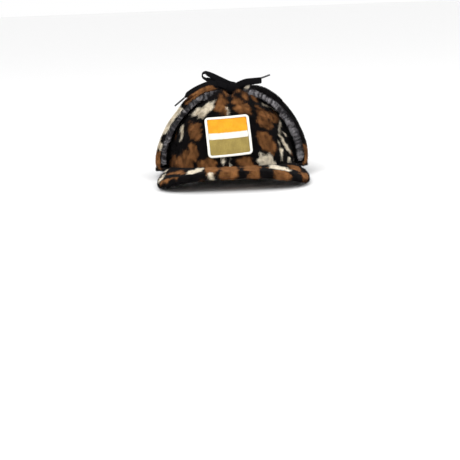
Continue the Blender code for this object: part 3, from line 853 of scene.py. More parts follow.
def softened_copy(node: bpy.types.Object, name: str, crease: float) -> bpy.types.Mesh:
    """A finer copy of a node's mesh, rounded along its sharp edges.

    Args:
        node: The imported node.
        name: The new mesh's name.
        crease: How crisp the sharp edges stay, from 0 to 1.

    Returns:
        The mesh.
    """
    form = bmesh.new()
    form.from_mesh(node.data)
    bmesh.ops.remove_doubles(form, verts=form.verts, dist=WELD)
    bmesh.ops.join_triangles(
        form,
        faces=form.faces,
        angle_face_threshold=FLAT_ENOUGH,
        angle_shape_threshold=SQUARE_ENOUGH,
    )
    sharp = form.edges.layers.float.new("crease_edge")
    for edge in form.edges:
        if edge.is_manifold and edge.calc_face_angle() > SHARP_FROM:
            edge[sharp] = crease
    coarse = bpy.data.meshes.new(name)
    form.to_mesh(coarse)
    form.free()
    holder = bpy.data.objects.new(name, coarse)
    bpy.context.scene.collection.objects.link(holder)
    finer = holder.modifiers.new("finer", "SUBSURF")
    finer.levels = FINER_LEVELS
    finer.render_levels = FINER_LEVELS
    shown = holder.evaluated_get(bpy.context.evaluated_depsgraph_get())
    mesh = bpy.data.meshes.new_from_object(shown)
    bpy.data.objects.remove(holder)
    bpy.data.meshes.remove(coarse)
    mesh.name = name
    for extra in ("crease_edge", "sharp_edge", "sharp_face"):
        if extra in mesh.attributes:
            mesh.attributes.remove(mesh.attributes[extra])
    mesh.materials.clear()
    mesh.shade_smooth()
    return mesh


def mesh_of(form: bmesh.types.BMesh, name: str) -> bpy.types.Mesh:
    """Turns a form into a smooth mesh.

    Args:
        form: The form, which is freed.
        name: The mesh's name.

    Returns:
        The mesh.
    """
    mesh = bpy.data.meshes.new(name)
    form.to_mesh(mesh)
    form.free()
    mesh.shade_smooth()
    return mesh


def tree_of(*nodes: bpy.types.Object) -> BVHTree:
    """A tree of some nodes' faces, for finding points on them.

    Args:
        nodes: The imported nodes.

    Returns:
        The tree.
    """
    form = bmesh.new()
    for node in nodes:
        form.from_mesh(node.data)
    tree = BVHTree.FromBMesh(form)
    form.free()
    return tree


def places_of(mesh: bpy.types.Mesh) -> np.ndarray:
    """The mesh's points, one a row."""
    found = np.empty(len(mesh.vertices) * 3, np.float32)
    mesh.vertices.foreach_get("co", found)
    return found.reshape(-1, 3).astype(float)


def normals_of(mesh: bpy.types.Mesh) -> np.ndarray:
    """The normals at the mesh's points, one a row."""
    found = np.empty(len(mesh.vertices) * 3, np.float32)
    mesh.vertex_normals.foreach_get("vector", found)
    return found.reshape(-1, 3).astype(float)


def move_to(mesh: bpy.types.Mesh, places: np.ndarray) -> None:
    """Puts the mesh's points at new places."""
    mesh.vertices.foreach_set("co", places.astype(np.float32).ravel())
    mesh.update()


def blend(values: np.ndarray, corners: np.ndarray, weights: np.ndarray) -> np.ndarray:
    """What a mesh's points hold, between the corners of its triangles."""
    return np.einsum("ij,ijk->ik", weights, values[corners].reshape(len(corners), 3, -1))


def hold(mesh: bpy.types.Mesh, name: str, numbers: np.ndarray) -> None:
    """Keeps a number at each of the mesh's points."""
    made = mesh.attributes.new(name, "FLOAT", "POINT")
    made.data.foreach_set("value", np.asarray(numbers, np.float32))


def show(
    mesh: bpy.types.Mesh, slot: str, material: bpy.types.Material, *nodes: str
) -> bpy.types.Object:
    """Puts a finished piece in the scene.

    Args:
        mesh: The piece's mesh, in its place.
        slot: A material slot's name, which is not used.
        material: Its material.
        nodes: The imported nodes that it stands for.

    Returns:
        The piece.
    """
    piece = bpy.data.objects.new(mesh.name, mesh)
    bpy.context.scene.collection.objects.link(piece)
    mesh.materials.append(material)
    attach(piece, BODY)
    if nodes:
        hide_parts(*nodes)
    mesh.calc_loop_triangles()
    LOG.info("%s: %d triangles", piece.name, len(mesh.loop_triangles))
    return piece


@dataclass(frozen=True)
class Cut:
    """A piece of cloth before it was sewn: its width, length and area, without seam allowances."""

    width: float
    length: float
    area: float
    held: str
    rests_on: tuple

    def declare(self, cloth: bpy.types.Object, pile: bpy.types.Object) -> None:
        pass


CM2 = 0.0001
CUTS = {
    "crown_front_left": Cut(88 * MM, 153 * MM, 88 * CM2, "stretched", ()),
    "crown_front_right": Cut(98 * MM, 153 * MM, 97 * CM2, "stretched", ()),
    "crown_side_left": Cut(113 * MM, 141 * MM, 115 * CM2, "stretched", ()),
    "crown_side_right": Cut(113 * MM, 141 * MM, 115 * CM2, "stretched", ()),
    "crown_back_left": Cut(97 * MM, 166 * MM, 106 * CM2, "stretched", ()),
    "crown_back_right": Cut(97 * MM, 166 * MM, 106 * CM2, "stretched", ()),
    "flap_lining_left": Cut(119 * MM, 138 * MM, 124 * CM2, "folded", ("crown_side_left",)),
    "flap_lining_right": Cut(116 * MM, 132 * MM, 120 * CM2, "folded", ("crown_side_right",)),
}


@dataclass(frozen=True)
class FlapSide:
    """What differs between the left and the right flap: the print, the lining's curls and the painted
    shade on the lining.
    """

    prints: tuple
    curl_length: float
    curl_nap: tuple
    fuller: float
    # How much painted shade darkens the lining, from 0 to 1.
    painted_shade: float


FLAP_SIDES = {
    # The left lining is darkened with painted shade; the right one is not.
    "left": FlapSide((LEFT_EDGE_PRINT, LEFT_SIDE_PRINT), 2.3 * MM, (0, -0.2, -1), 0.0, 0.35),
    "right": FlapSide((RIGHT_EDGE_PRINT, RIGHT_SIDE_PRINT), 3.2 * MM, (-0.9, -0.3, -0.5), 0.6, 0.0),
}


@dataclass
class Pile:
    """Short strands that stand on a cloth, all of them one joined mesh."""

    density: float
    seed: int
    length: float = 3.1 * MM
    width: float = 0.5 * MM
    lean: float = 0.72
    nap: tuple = (0.0, -0.2, -1.0)
    nap_on_top: tuple | None = None
    parting: tuple = (0.7, 0.95)
    swirl: float = 1.0
    swirl_size: float = 7 * MM
    stray: float = 0.5
    bend: float = 0.35
    lengths: tuple = (0.65, 1.25)
    leans: tuple = (0.7, 1.25)
    widths: tuple = (0.7, 1.3)
    shades: tuple = (0.74, 1.2)
    clump: float = 4.4 * MM
    clump_shade: float = 0.46
    bent: bool = False
    sunk: float = 0.3 * MM
    floor: float = 0.3 * MM

    @property
    def points(self) -> int:
        """How many points a strand has."""
        return 5 if self.bent else 3

    def roots(self, mesh: bpy.types.Mesh, keep: np.ndarray, rng: np.random.Generator) -> tuple:
        """Strands' roots, spread evenly over what is kept of a mesh.

        Args:
            mesh: The cloth.
            keep: For each of its points, the share of strands that grow there.
            rng: The source of chance.

        Returns:
            The three corners of the triangle under each root, and the corners' weights.
        """
        mesh.calc_loop_triangles()
        corners = np.empty(len(mesh.loop_triangles) * 3, np.int32)
        mesh.loop_triangles.foreach_get("vertices", corners)
        corners = corners.reshape(-1, 3)
        places = places_of(mesh)
        a, b, c = (places[corners[:, i]] for i in range(3))
        area = np.linalg.norm(np.cross(b - a, c - a), axis=1) / 2 / MM / MM
        wanted = area * keep[corners].mean(axis=1)
        count = int(wanted.sum() * self.density)
        chosen = corners[rng.choice(len(corners), count, p=wanted / wanted.sum())]
        u, v = rng.random((2, count))
        over = u + v > 1
        u, v = np.where(over, 1 - u, u), np.where(over, 1 - v, v)
        return chosen, np.stack([1 - u - v, u, v], axis=1)

    def flow(self, root: np.ndarray, out: np.ndarray, rng: np.random.Generator) -> np.ndarray:
        """The way that each strand leans along the cloth.

        Args:
            root: The strands' roots.
            out: The cloth's normals there.
            rng: The source of chance.

        Returns:
            A vector of length 1 for each strand.
        """
        up = smooth_step((out[:, 2:] - self.parting[0]) / (self.parting[1] - self.parting[0]))
        flow = np.array(self.nap) * (1 - up) + np.array(self.nap_on_top or self.nap) * up
        swirls = [cloud(root, self.swirl_size, self.seed + 11 + i) for i in range(3)]
        flow += self.swirl * np.stack(swirls, axis=1)
        flow += self.stray * rng.normal(size=root.shape)
        return unit(flow - out * (flow * out).sum(axis=1, keepdims=True))

    def grow(
        self, name: str, mesh: bpy.types.Mesh, keep: np.ndarray, long: np.ndarray, rise: np.ndarray
    ) -> tuple:
        """Grows the strands.

        Args:
            name: The new mesh's name.
            mesh: The cloth.
            keep: For each of its points, the share of strands that grow there.
            long: For each of its points, what their length is multiplied by.
            rise: For each of its points, how upright they stand, from 0 to 1.

        Returns:
            The strands' mesh and their roots.
        """
        rng = np.random.default_rng(self.seed)
        corners, weights = self.roots(mesh, keep, rng)
        root, out, long, rise = (
            blend(values, corners, weights)
            for values in (places_of(mesh), normals_of(mesh), long, rise)
        )
        out = unit(out)
        count = len(root)
        length = self.length * long[:, 0] * rng.uniform(*self.lengths, count)
        flow = self.flow(root, out, rng)
        lean = self.lean * (1 - 0.7 * rise[:, 0]) * rng.uniform(*self.leans, count)
        lean = np.clip(lean, 0, 0.95)[:, None]
        first = unit(out * (1 - lean) + flow * lean)
        turned = flow + self.bend * rng.normal(size=(count, 3))
        second = unit(out * (1 - lean) * 0.6 + turned * lean)
        half = self.width / 2 * rng.uniform(*self.widths, count)
        across = unit(np.cross(first, out)) * half[:, None]
        reach = length[:, None] / 2
        base = root - out * self.sunk
        middle = root + first * reach
        rows = [base - across, base + across, middle + (second if self.bent else first) * reach]
        if self.bent:
            rows[2:2] = [middle - across * 0.8, middle + across * 0.8]
        rows = np.stack(rows, axis=1)
        rows[:, :, 2] = np.maximum(rows[:, :, 2], self.floor)
        made = self.joined(name, rows)
        shade = rng.uniform(*self.shades, count)
        shade += cloud(root, self.clump, self.seed + 21) * self.clump_shade
        # The tip number, 0 at the root and 1 at the tip, lets the strand materials paint shade towards
        # the roots.
        hold(made, "tip", np.tile([0.0, 0.0, 0.6, 0.6, 1.0] if self.bent else [0.0, 0.0, 1.0], count))
        hold(made, "shade", np.repeat(np.clip(shade, 0.4, 1.5), self.points))
        soft = unit(out * 0.6 + unit(np.cross(across, first)) * 0.4)
        soft = np.repeat(soft, self.points, axis=0).astype(np.float32)
        made.normals_split_custom_set_from_vertices(soft)
        return made, root

    def joined(self, name: str, rows: np.ndarray) -> bpy.types.Mesh:
        """One mesh of all strands, each a tapered strip, with a map for baking.

        Args:
            name: The mesh's name.
            rows: For each strand its points.

        Returns:
            The mesh.
        """
        count = len(rows)
        strip = np.array([0, 1, 3, 2, 2, 3, 4] if self.bent else [0, 1, 2])
        firsts = np.array([0, 4] if self.bent else [0])
        shape = np.array([(0.1, 0.1), (0.9, 0.1), (0.2, 0.55), (0.8, 0.55), (0.5, 0.9)])
        if not self.bent:
            shape = shape[[0, 1, 4]]
        made = bpy.data.meshes.new(name)
        made.vertices.add(count * self.points)
        made.vertices.foreach_set("co", rows.astype(np.float32).ravel())
        made.loops.add(count * len(strip))
        corners = (np.arange(count)[:, None] * self.points + strip).ravel()
        made.loops.foreach_set("vertex_index", corners.astype(np.int32))
        made.polygons.add(count * len(firsts))
        starts = (np.arange(count)[:, None] * len(strip) + firsts).ravel()
        made.polygons.foreach_set("loop_start", starts.astype(np.int32))
        made.update(calc_edges=True)
        cells = math.ceil(math.sqrt(count))
        corner = np.stack([np.arange(count) % cells, np.arange(count) // cells], axis=1)[:, None, :]
        layer = made.uv_layers.new(name="OFBake")
        places = (corner + shape[strip]) / cells
        layer.uv.foreach_set("vector", places.astype(np.float32).ravel())
        made.validate()
        return made


@dataclass
class Cloths:
    """The fleece and the lining: finer copies of their solids, with pile on them."""

    studio: Studio
    nodes: dict
    fleece: PrintedFleece = field(default_factory=PrintedFleece)
    lining: GreyPile = field(default_factory=GreyPile)
    relief: float = 0.8 * MM
    lump: float = 5.5 * MM
    small_lump: float = 2.8 * MM
    sunk: float = 1.2 * MM
    both_sunk: float = 0.35
    lining_sunk: float = 0.8
    heart: float = 30 * MM
    ragged: float = 2.6 * MM
    rag: float = 9 * MM
    small_rag: float = 3.4 * MM
    ragged_stroke: float = 5 * MM
    most_ragged: float = 1.2
    swell: float = 1.5 * MM
    stroke: float = 4 * MM
    far: float = 6 * MM
    crease: float = 0.36
    lining_crease: float = 0.2
    under_from: float = -0.93
    level_from: float = 0.87
    flap_level_from: float = 0.45
    level_to: float = 0.98
    top_from: float = 90 * MM
    top_to: float = 99 * MM
    top_longer: float = 1.9
    flap_longer: float = 0.3
    curl_longer: float = 0.8
    top_reach: float = 46 * MM
    flap_reach: float = 84 * MM
    knot_half: float = 4 * MM
    curl_pitch: float = 4.4 * MM
    curl_depth: float = 0.8 * MM
    curl_radius: float = 100 * MM
    curl_slant: float = 0.35
    curl_wander: float = 3.2 * MM
    wander_size: float = 9 * MM
    curl_waver: float = 1.8 * MM
    waver_size: float = 4 * MM
    curl_blob: float = 5 * MM
    curls_from: float = 20 * MM
    curls_to: float = 96 * MM
    hover: float = 0.8 * MM
    strand_room: float = 3.5 * MM
    curl_room: float = 9 * MM

    def __post_init__(self) -> None:
        """Makes the materials once."""
        self.fleece_ground = self.fleece.ground()
        self.fleece_strands = self.fleece.strands()
        self.pile_ground = self.lining.ground()
        self.pile_strands = self.lining.strands()

    def marks(self, prints: tuple, names: tuple) -> tuple:
        """Drops some charts on some nodes.

        Args:
            prints: The charts.
            names: The nodes.

        Returns:
            The brown and the cream strokes.
        """
        tree = tree_of(*[self.nodes[name] for name in names])
        brown, cream = [], []
        for chart in prints:
            view = self.studio
            if chart.seen is not Seen.PICTURE:
                view = Side(*chart.seen.value, self.studio.middle)
            brown += chart.strokes(chart.brown, tree, view)
            cream += chart.strokes(chart.cream, tree, view)
        return brown, cream

    def depth(self, places: np.ndarray, strokes: list, seed: int) -> np.ndarray:
        """How far inside the nearest stroke each point is, with ragged edges.

        Args:
            places: The points, one a row.
            strokes: The strokes.
            seed: Which noise frays their edges.

        Returns:
            One number for each point, below 0 outside.
        """
        blobs = [
            cloud(places, self.rag, seed + i) * 0.7 + cloud(places, self.small_rag, seed + 3 + i) * 0.5
            for i in range(3)
        ]
        shift = self.ragged * np.stack(blobs, axis=1)
        best = np.full(len(places), -self.far)
        for start, end, thick, thin in strokes:
            run = end - start
            share = min(max(thick, thin) / self.ragged_stroke, self.most_ragged)
            moved = places + shift * share
            share = np.clip((moved - start) @ run / max(run @ run, 1e-12), 0, 1)
            away = np.linalg.norm(moved - start - share[:, None] * run, axis=1)
            half = thick + (thin - thick) * share
            best = np.maximum(best, half + self.swell * np.minimum(half / self.stroke, 1) - away)
        return np.clip(best, -self.far, self.far)

    def hold_print(self, mesh: bpy.types.Mesh, places: np.ndarray, marks: tuple, each: int) -> None:
        """Keeps the print at a mesh's points.

        Args:
            mesh: The mesh.
            places: Where the print is read.
            marks: The brown and the cream strokes.
            each: How many of the mesh's points share a place.
        """
        for i, colour in enumerate(("brown", "cream")):
            depth = self.depth(places, marks[i], 40 + 20 * i)
            hold(mesh, colour, np.repeat(depth, each))

    def outer(self, places: np.ndarray, out: np.ndarray) -> np.ndarray:
        """1 where a face looks away from the cap's heart, 0 where it looks at it."""
        away = unit(places - np.array(self.studio.middle + Vector((0, 0, self.heart))))
        return smooth_step(((away * out).sum(axis=1) + 0.1) / 0.3)

    def room(self, places: np.ndarray, out: np.ndarray, name: str, near: float) -> np.ndarray:
        """Looks where other cloth lies close over a node.

        Args:
            places: Points on the node, one a row.
            out: Its normals there.
            name: The node.
            near: How close counts.

        Returns:
            1 for each free point, and 0 for each under a flap or a lining.
        """
        others = [
            node
            for other, node in self.nodes.items()
            if other != name and other.startswith(("crown", "flap", "brim"))
        ]
        tree = tree_of(*others)
        found = [
            tree.ray_cast(Vector(p + n * self.hover), Vector(n), near)[0] is None
            for p, n in zip(places, out)
        ]
        return np.array(found, float)

    def near_knot(self, places: np.ndarray, reach: float) -> np.ndarray:
        """Looks which points are on top of the cap beside the knot.

        Args:
            places: The points, one a row.
            reach: How far from the knot counts.

        Returns:
            1 for each point beside the knot, falling to 0 at the reach.
        """
        top = smooth_step((places[:, 2] - self.top_from) / (self.top_to - self.top_from))
        aside = abs(places[:, 0] - self.studio.middle.x)
        beside = smooth_step((aside - self.knot_half) / self.knot_half)
        return top * beside * smooth_step((1 - aside / reach) * 3)

    def printed(self, name: str, marks: tuple, pile: Pile, both_sides: bool = False) -> tuple:
        """Makes one node's printed fleece.

        Args:
            name: The node.
            marks: The brown and the cream strokes.
            pile: The strands.
            both_sides: Whether the side that faces the head is printed too.

        Returns:
            The cloth and its pile.
        """
        mesh = softened_copy(self.nodes[name], f"{name}_fleece", self.crease)
        places, out = places_of(mesh), normals_of(mesh)
        outside = np.ones(len(places)) if both_sides else self.outer(places, out)
        lumps = cloud(places, self.lump, 5) * 0.6 + cloud(places, self.small_lump, 6) * 0.4
        sunk = self.sunk * (self.both_sunk if both_sides else 1)
        sinking = outside * (lumps * self.relief - sunk)
        move_to(mesh, places + out * sinking[:, None])
        places = places_of(mesh)
        self.hold_print(mesh, places, marks, 1)
        hold(mesh, "outside", outside)
        cloth = show(mesh, "printed_fleece", self.fleece_ground, name)
        reach, level, longer = self.top_reach, self.level_from, self.top_longer
        if name.startswith("flap"):
            reach, level, longer = self.flap_reach, self.flap_level_from, self.flap_longer
        flat = smooth_step((out[:, 2] - level) / (self.level_to - level))
        rise = self.near_knot(places, reach) * flat
        under = np.where(out[:, 2] < self.under_from, 0.0, 1.0)
        keep = outside * under * self.room(places, out, name, self.strand_room)
        strands, root = pile.grow(f"{name}_pile", mesh, keep, 1 + longer * rise, rise)
        self.hold_print(strands, root, marks, pile.points)
        return cloth, show(strands, "printed_fleece", self.fleece_strands)

    def curl(self, places: np.ndarray) -> np.ndarray:
        """Ribs across a lining's roll.

        Args:
            places: Points on the lining, one a row.

        Returns:
            One number for each point, from -1 in a furrow to 1 on a curl.
        """
        off = places - np.array(self.studio.middle)
        along = np.arctan2(off[:, 2], off[:, 0]) * self.curl_radius + off[:, 1] * self.curl_slant
        wander = cloud(places, self.wander_size, 81) * self.curl_wander
        along += wander + cloud(places, self.waver_size, 82) * self.curl_waver
        ribs = np.sin(along * (2 * math.pi / self.curl_pitch))
        return np.clip(ribs * 0.6 + cloud(places, self.curl_blob, 83) * 0.9, -1, 1)

    def lined(self, name: str, pile: Pile, fuller: float, painted_shade: float) -> tuple:
        """Makes one node's grey curly pile.

        Args:
            name: The node.
            pile: The curls' strands.
            fuller: How much longer the curls are halfway down.
            painted_shade: How much painted shade darkens the pile, from 0 to 1.

        Returns:
            The backing and its curls.
        """
        mesh = softened_copy(self.nodes[name], f"{name}_backing", self.lining_crease)
        places, out = places_of(mesh), normals_of(mesh)
        curl = self.curl(places)
        sinking = curl * self.curl_depth - self.sunk * self.lining_sunk
        move_to(mesh, places + out * sinking[:, None])
        # Painted shade: lowering the curl number by dim darkens the whole backing.
        hold(mesh, "curl", curl - painted_shade)
        backing = show(mesh, "grey_pile", self.pile_ground, name)
        seen = self.room(places, out, name, self.curl_room)
        near = self.near_knot(places, self.top_reach)
        share = (places[:, 2] - self.curls_from) / (self.curls_to - self.curls_from)
        full = np.sin(np.clip(share, 0, 1) * math.pi)
        long = 1 + self.curl_longer * near + fuller * full
        strands, root = pile.grow(f"{name}_curls", mesh, seen, long, near * 0.6)
        # The curls take the same painted shade.
        hold(strands, "curl", np.repeat(self.curl(root) - painted_shade, pile.points))
        return backing, show(strands, "grey_pile", self.pile_strands)

    def crown(self) -> None:
        """Makes the crown's six panels, with the pile densest in front."""
        marks = self.marks((CROWN_PRINT, BACK_PRINT), CROWN_NODES)
        for i, name in enumerate(CROWN_NODES):
            density = 7.0 if "front" in name else 4.4
            pile = Pile(density=density, nap_on_top=(0, 1, 0), seed=100 + i)
            CUTS[name].declare(*self.printed(name, marks, pile))

    def brim(self) -> None:
        """Makes the brim, whose pile is brushed back on top."""
        marks = self.marks((BRIM_PRINT, UNDER_BRIM_PRINT), ("brim",))
        pile = Pile(
            density=5.2, nap=(0, -1, -0.3), nap_on_top=(0, 1.6, 0), parting=(0, 0.7), seed=110
        )
        brim, _ = self.printed("brim", marks, pile, both_sides=True)

    def flaps(self) -> None:
        """Makes both flaps with their linings."""
        for i, (word, side) in enumerate(FLAP_SIDES.items()):
            marks = self.marks(side.prints, (f"flap_{word}",))
            pile = Pile(density=5.0, nap_on_top=(0, 1, 0), seed=120 + i)
            flap, _ = self.printed(f"flap_{word}", marks, pile)
            curls = Pile(
                density=5.5,
                length=side.curl_length,
                width=0.55 * MM,
                lean=0.6,
                nap=side.curl_nap,
                swirl=1.6,
                bend=1.1,
                bent=True,
                seed=140 + i,
            )
            lining = f"flap_lining_{word}"
            CUTS[lining].declare(*self.lined(lining, curls, side.fuller, side.painted_shade))

    def build(self) -> None:
        """Makes the crown, the brim and the flaps."""
        self.crown()
        self.brim()
        self.flaps()


def smooth_route(points: list, steps: int) -> np.ndarray:
    """Points on a smooth curve through a route.

    Args:
        points: The route's own points.
        steps: How many steps lie between one and the next.

    Returns:
        The curve's points, one a row.
    """
    rows = np.array(points, float)
    slopes = np.gradient(rows, axis=0)
    share = np.arange(steps)[:, None] / steps
    curve = [
        a * (2 * share**3 - 3 * share**2 + 1)
        + m * (share**3 - 2 * share**2 + share)
        + b * (3 * share**2 - 2 * share**3)
        + n * (share**3 - share**2)
        for a, b, m, n in zip(rows, rows[1:], slopes, slopes[1:])
    ]
    return np.concatenate([*curve, rows[-1:]])


@dataclass
class Band:
    """A flat band of lace along a route."""

    route: np.ndarray
    sides: np.ndarray
    width: float = 8 * MM
    thickness: float = 1.8 * MM
    narrowing: float = 0.0
    tip: float = 2.4 * MM
    pitch: float = 1.5 * MM
    slant: float = 0.8
    relief: float = 0.12 * MM
    squareness: float = 0.55
    around: int = 24
    ring: bool = False

    def mesh(self, name: str) -> bpy.types.Mesh:
        """Makes the band, with its length and width in the map called Lace.

        Args:
            name: The mesh's name.

        Returns:
            The mesh.
        """
        hops = np.linalg.norm(np.diff(self.route, axis=0), axis=1)
        along = np.concatenate([[0.0], np.cumsum(hops)])
        ahead = unit(np.gradient(self.route, axis=0))
        if self.ring:
            ahead[0] = ahead[-1] = unit((self.route[1] - self.route[-2])[None])[0]
        sides = unit(self.sides - ahead * (self.sides * ahead).sum(axis=1, keepdims=True))
        faces = np.cross(ahead, sides)
        width = np.full(len(along), self.width)
        if self.narrowing:
            share = smooth_step((along[-1] - along) / self.narrowing)
            width = self.tip + (self.width - self.tip) * share
        form = bmesh.new()
        bmesh.ops.create_grid(
            form, x_segments=len(along) - 1, y_segments=self.around, size=0.5, calc_uvs=False
        )
        layer = form.loops.layers.uv.new("Lace")
        flat = {}
        for vert in form.verts:
            station = round((vert.co.x + 0.5) * (len(along) - 1))
            turn = (vert.co.y + 0.5) * 2 * math.pi
            across = math.cos(turn) * width[station] / 2
            slanted = along[station] + abs(across) * self.slant
            rib = abs(math.sin(slanted * math.pi / self.pitch))
            rise = math.copysign(abs(math.sin(turn)) ** self.squareness, math.sin(turn))
            height = rise * (self.thickness / 2 + self.relief * (rib - 0.5))
            flat[vert] = (along[station], across)
            vert.co = Vector(self.route[station] + sides[station] * across + faces[station] * height)
        for face in form.faces:
            for loop in face.loops:
                loop[layer].uv = flat[loop.vert]
        bmesh.ops.remove_doubles(form, verts=form.verts, dist=WELD / 2)
        if not self.ring:
            bmesh.ops.holes_fill(form, edges=form.edges)
        bmesh.ops.recalc_face_normals(form, faces=form.faces)
        return mesh_of(form, name)


LEFT_LOOP_ROUTE = [
    (8.0, 0, 114.5, 80), (4.96, 0, 118.0, 80), (-1.4, 0, 120.0, 78), (-12.1, 0, 125.5, 74),
    (-20.5, 0, 130.0, 68), (-27.5, 0, 133.7, 50), (-31.6, 0, 135.8, 24), (-35.2, 0, 134.3, 15),
    (-35.45, 0, 130.3, 15), (-31.6, 0, 127.3, 22), (-27.5, 0, 126.0, 40), (-15.1, 0, 121.9, 50),
    (-7.1, 0, 119.2, 50), (-1.0, 0, 117.0, 50),
]
RIGHT_LOOP_ROUTE = [
    (3.0, -1.0, 113.8, 90), (8.0, -3.4, 116.2, 90), (12.9, -4.42, 118.5, 90),
    (19.45, -4.6, 120.89, 90), (24.4, -4.6, 121.7, 90), (33.2, -4.23, 122.2, 90),
    (38.98, -2.58, 122.62, 90), (41.18, 0, 122.89, 90), (38.98, 2.58, 122.62, 90),
    (33.2, 4.23, 122.2, 90), (24.4, 4.6, 121.7, 90), (19.45, 4.6, 120.89, 90),
    (12.9, 4.42, 118.5, 90), (8.0, 3.4, 116.2, 90), (3.0, 1.0, 113.8, 90),
]
LEFT_TAIL_ROUTE = [
    (-4.0, -6.1, 116.4), (-7.5, -6.5, 118.0), (-11.0, -6.9, 119.8), (-15.9, -7.6, 121.3),
    (-17.9, -9.7, 121.4), (-20.7, -10.5, 121.4), (-24.6, -10.9, 121.4), (-28.9, -11.1, 121.0),
    (-33.3, -11.2, 119.7), (-37.1, -11.3, 118.2), (-42.7, -11.8, 115.9), (-46.1, -11.9, 114.2),
    (-49.6, -12.0, 112.3), (-53.4, -12.1, 109.9), (-56.9, -12.1, 107.3), (-59.8, -11.9, 105.0),
]
RIGHT_TAIL_ROUTE = [
    (-7.2, 4.8, 114.0), (-4.0, 6.3, 114.2), (0, 7.4, 114.5), (4, 7.8, 114.9), (8, 7.8, 115.4),
    (12, 7.7, 116.1), (16, 7.7, 117.0), (20, 7.7, 118.0), (23.5, 7.6, 119.0), (26.5, 7.5, 120.0),
    (29.5, 7.3, 121.1), (32.3, 7.1, 122.2), (34.8, 6.8, 123.1), (37.2, 6.4, 123.9),
]
KNOT_TURNS = ((0.0, 1.0, 1.06), (-6.2, -1.6, 0.97), (5.8, 2.2, 0.97))


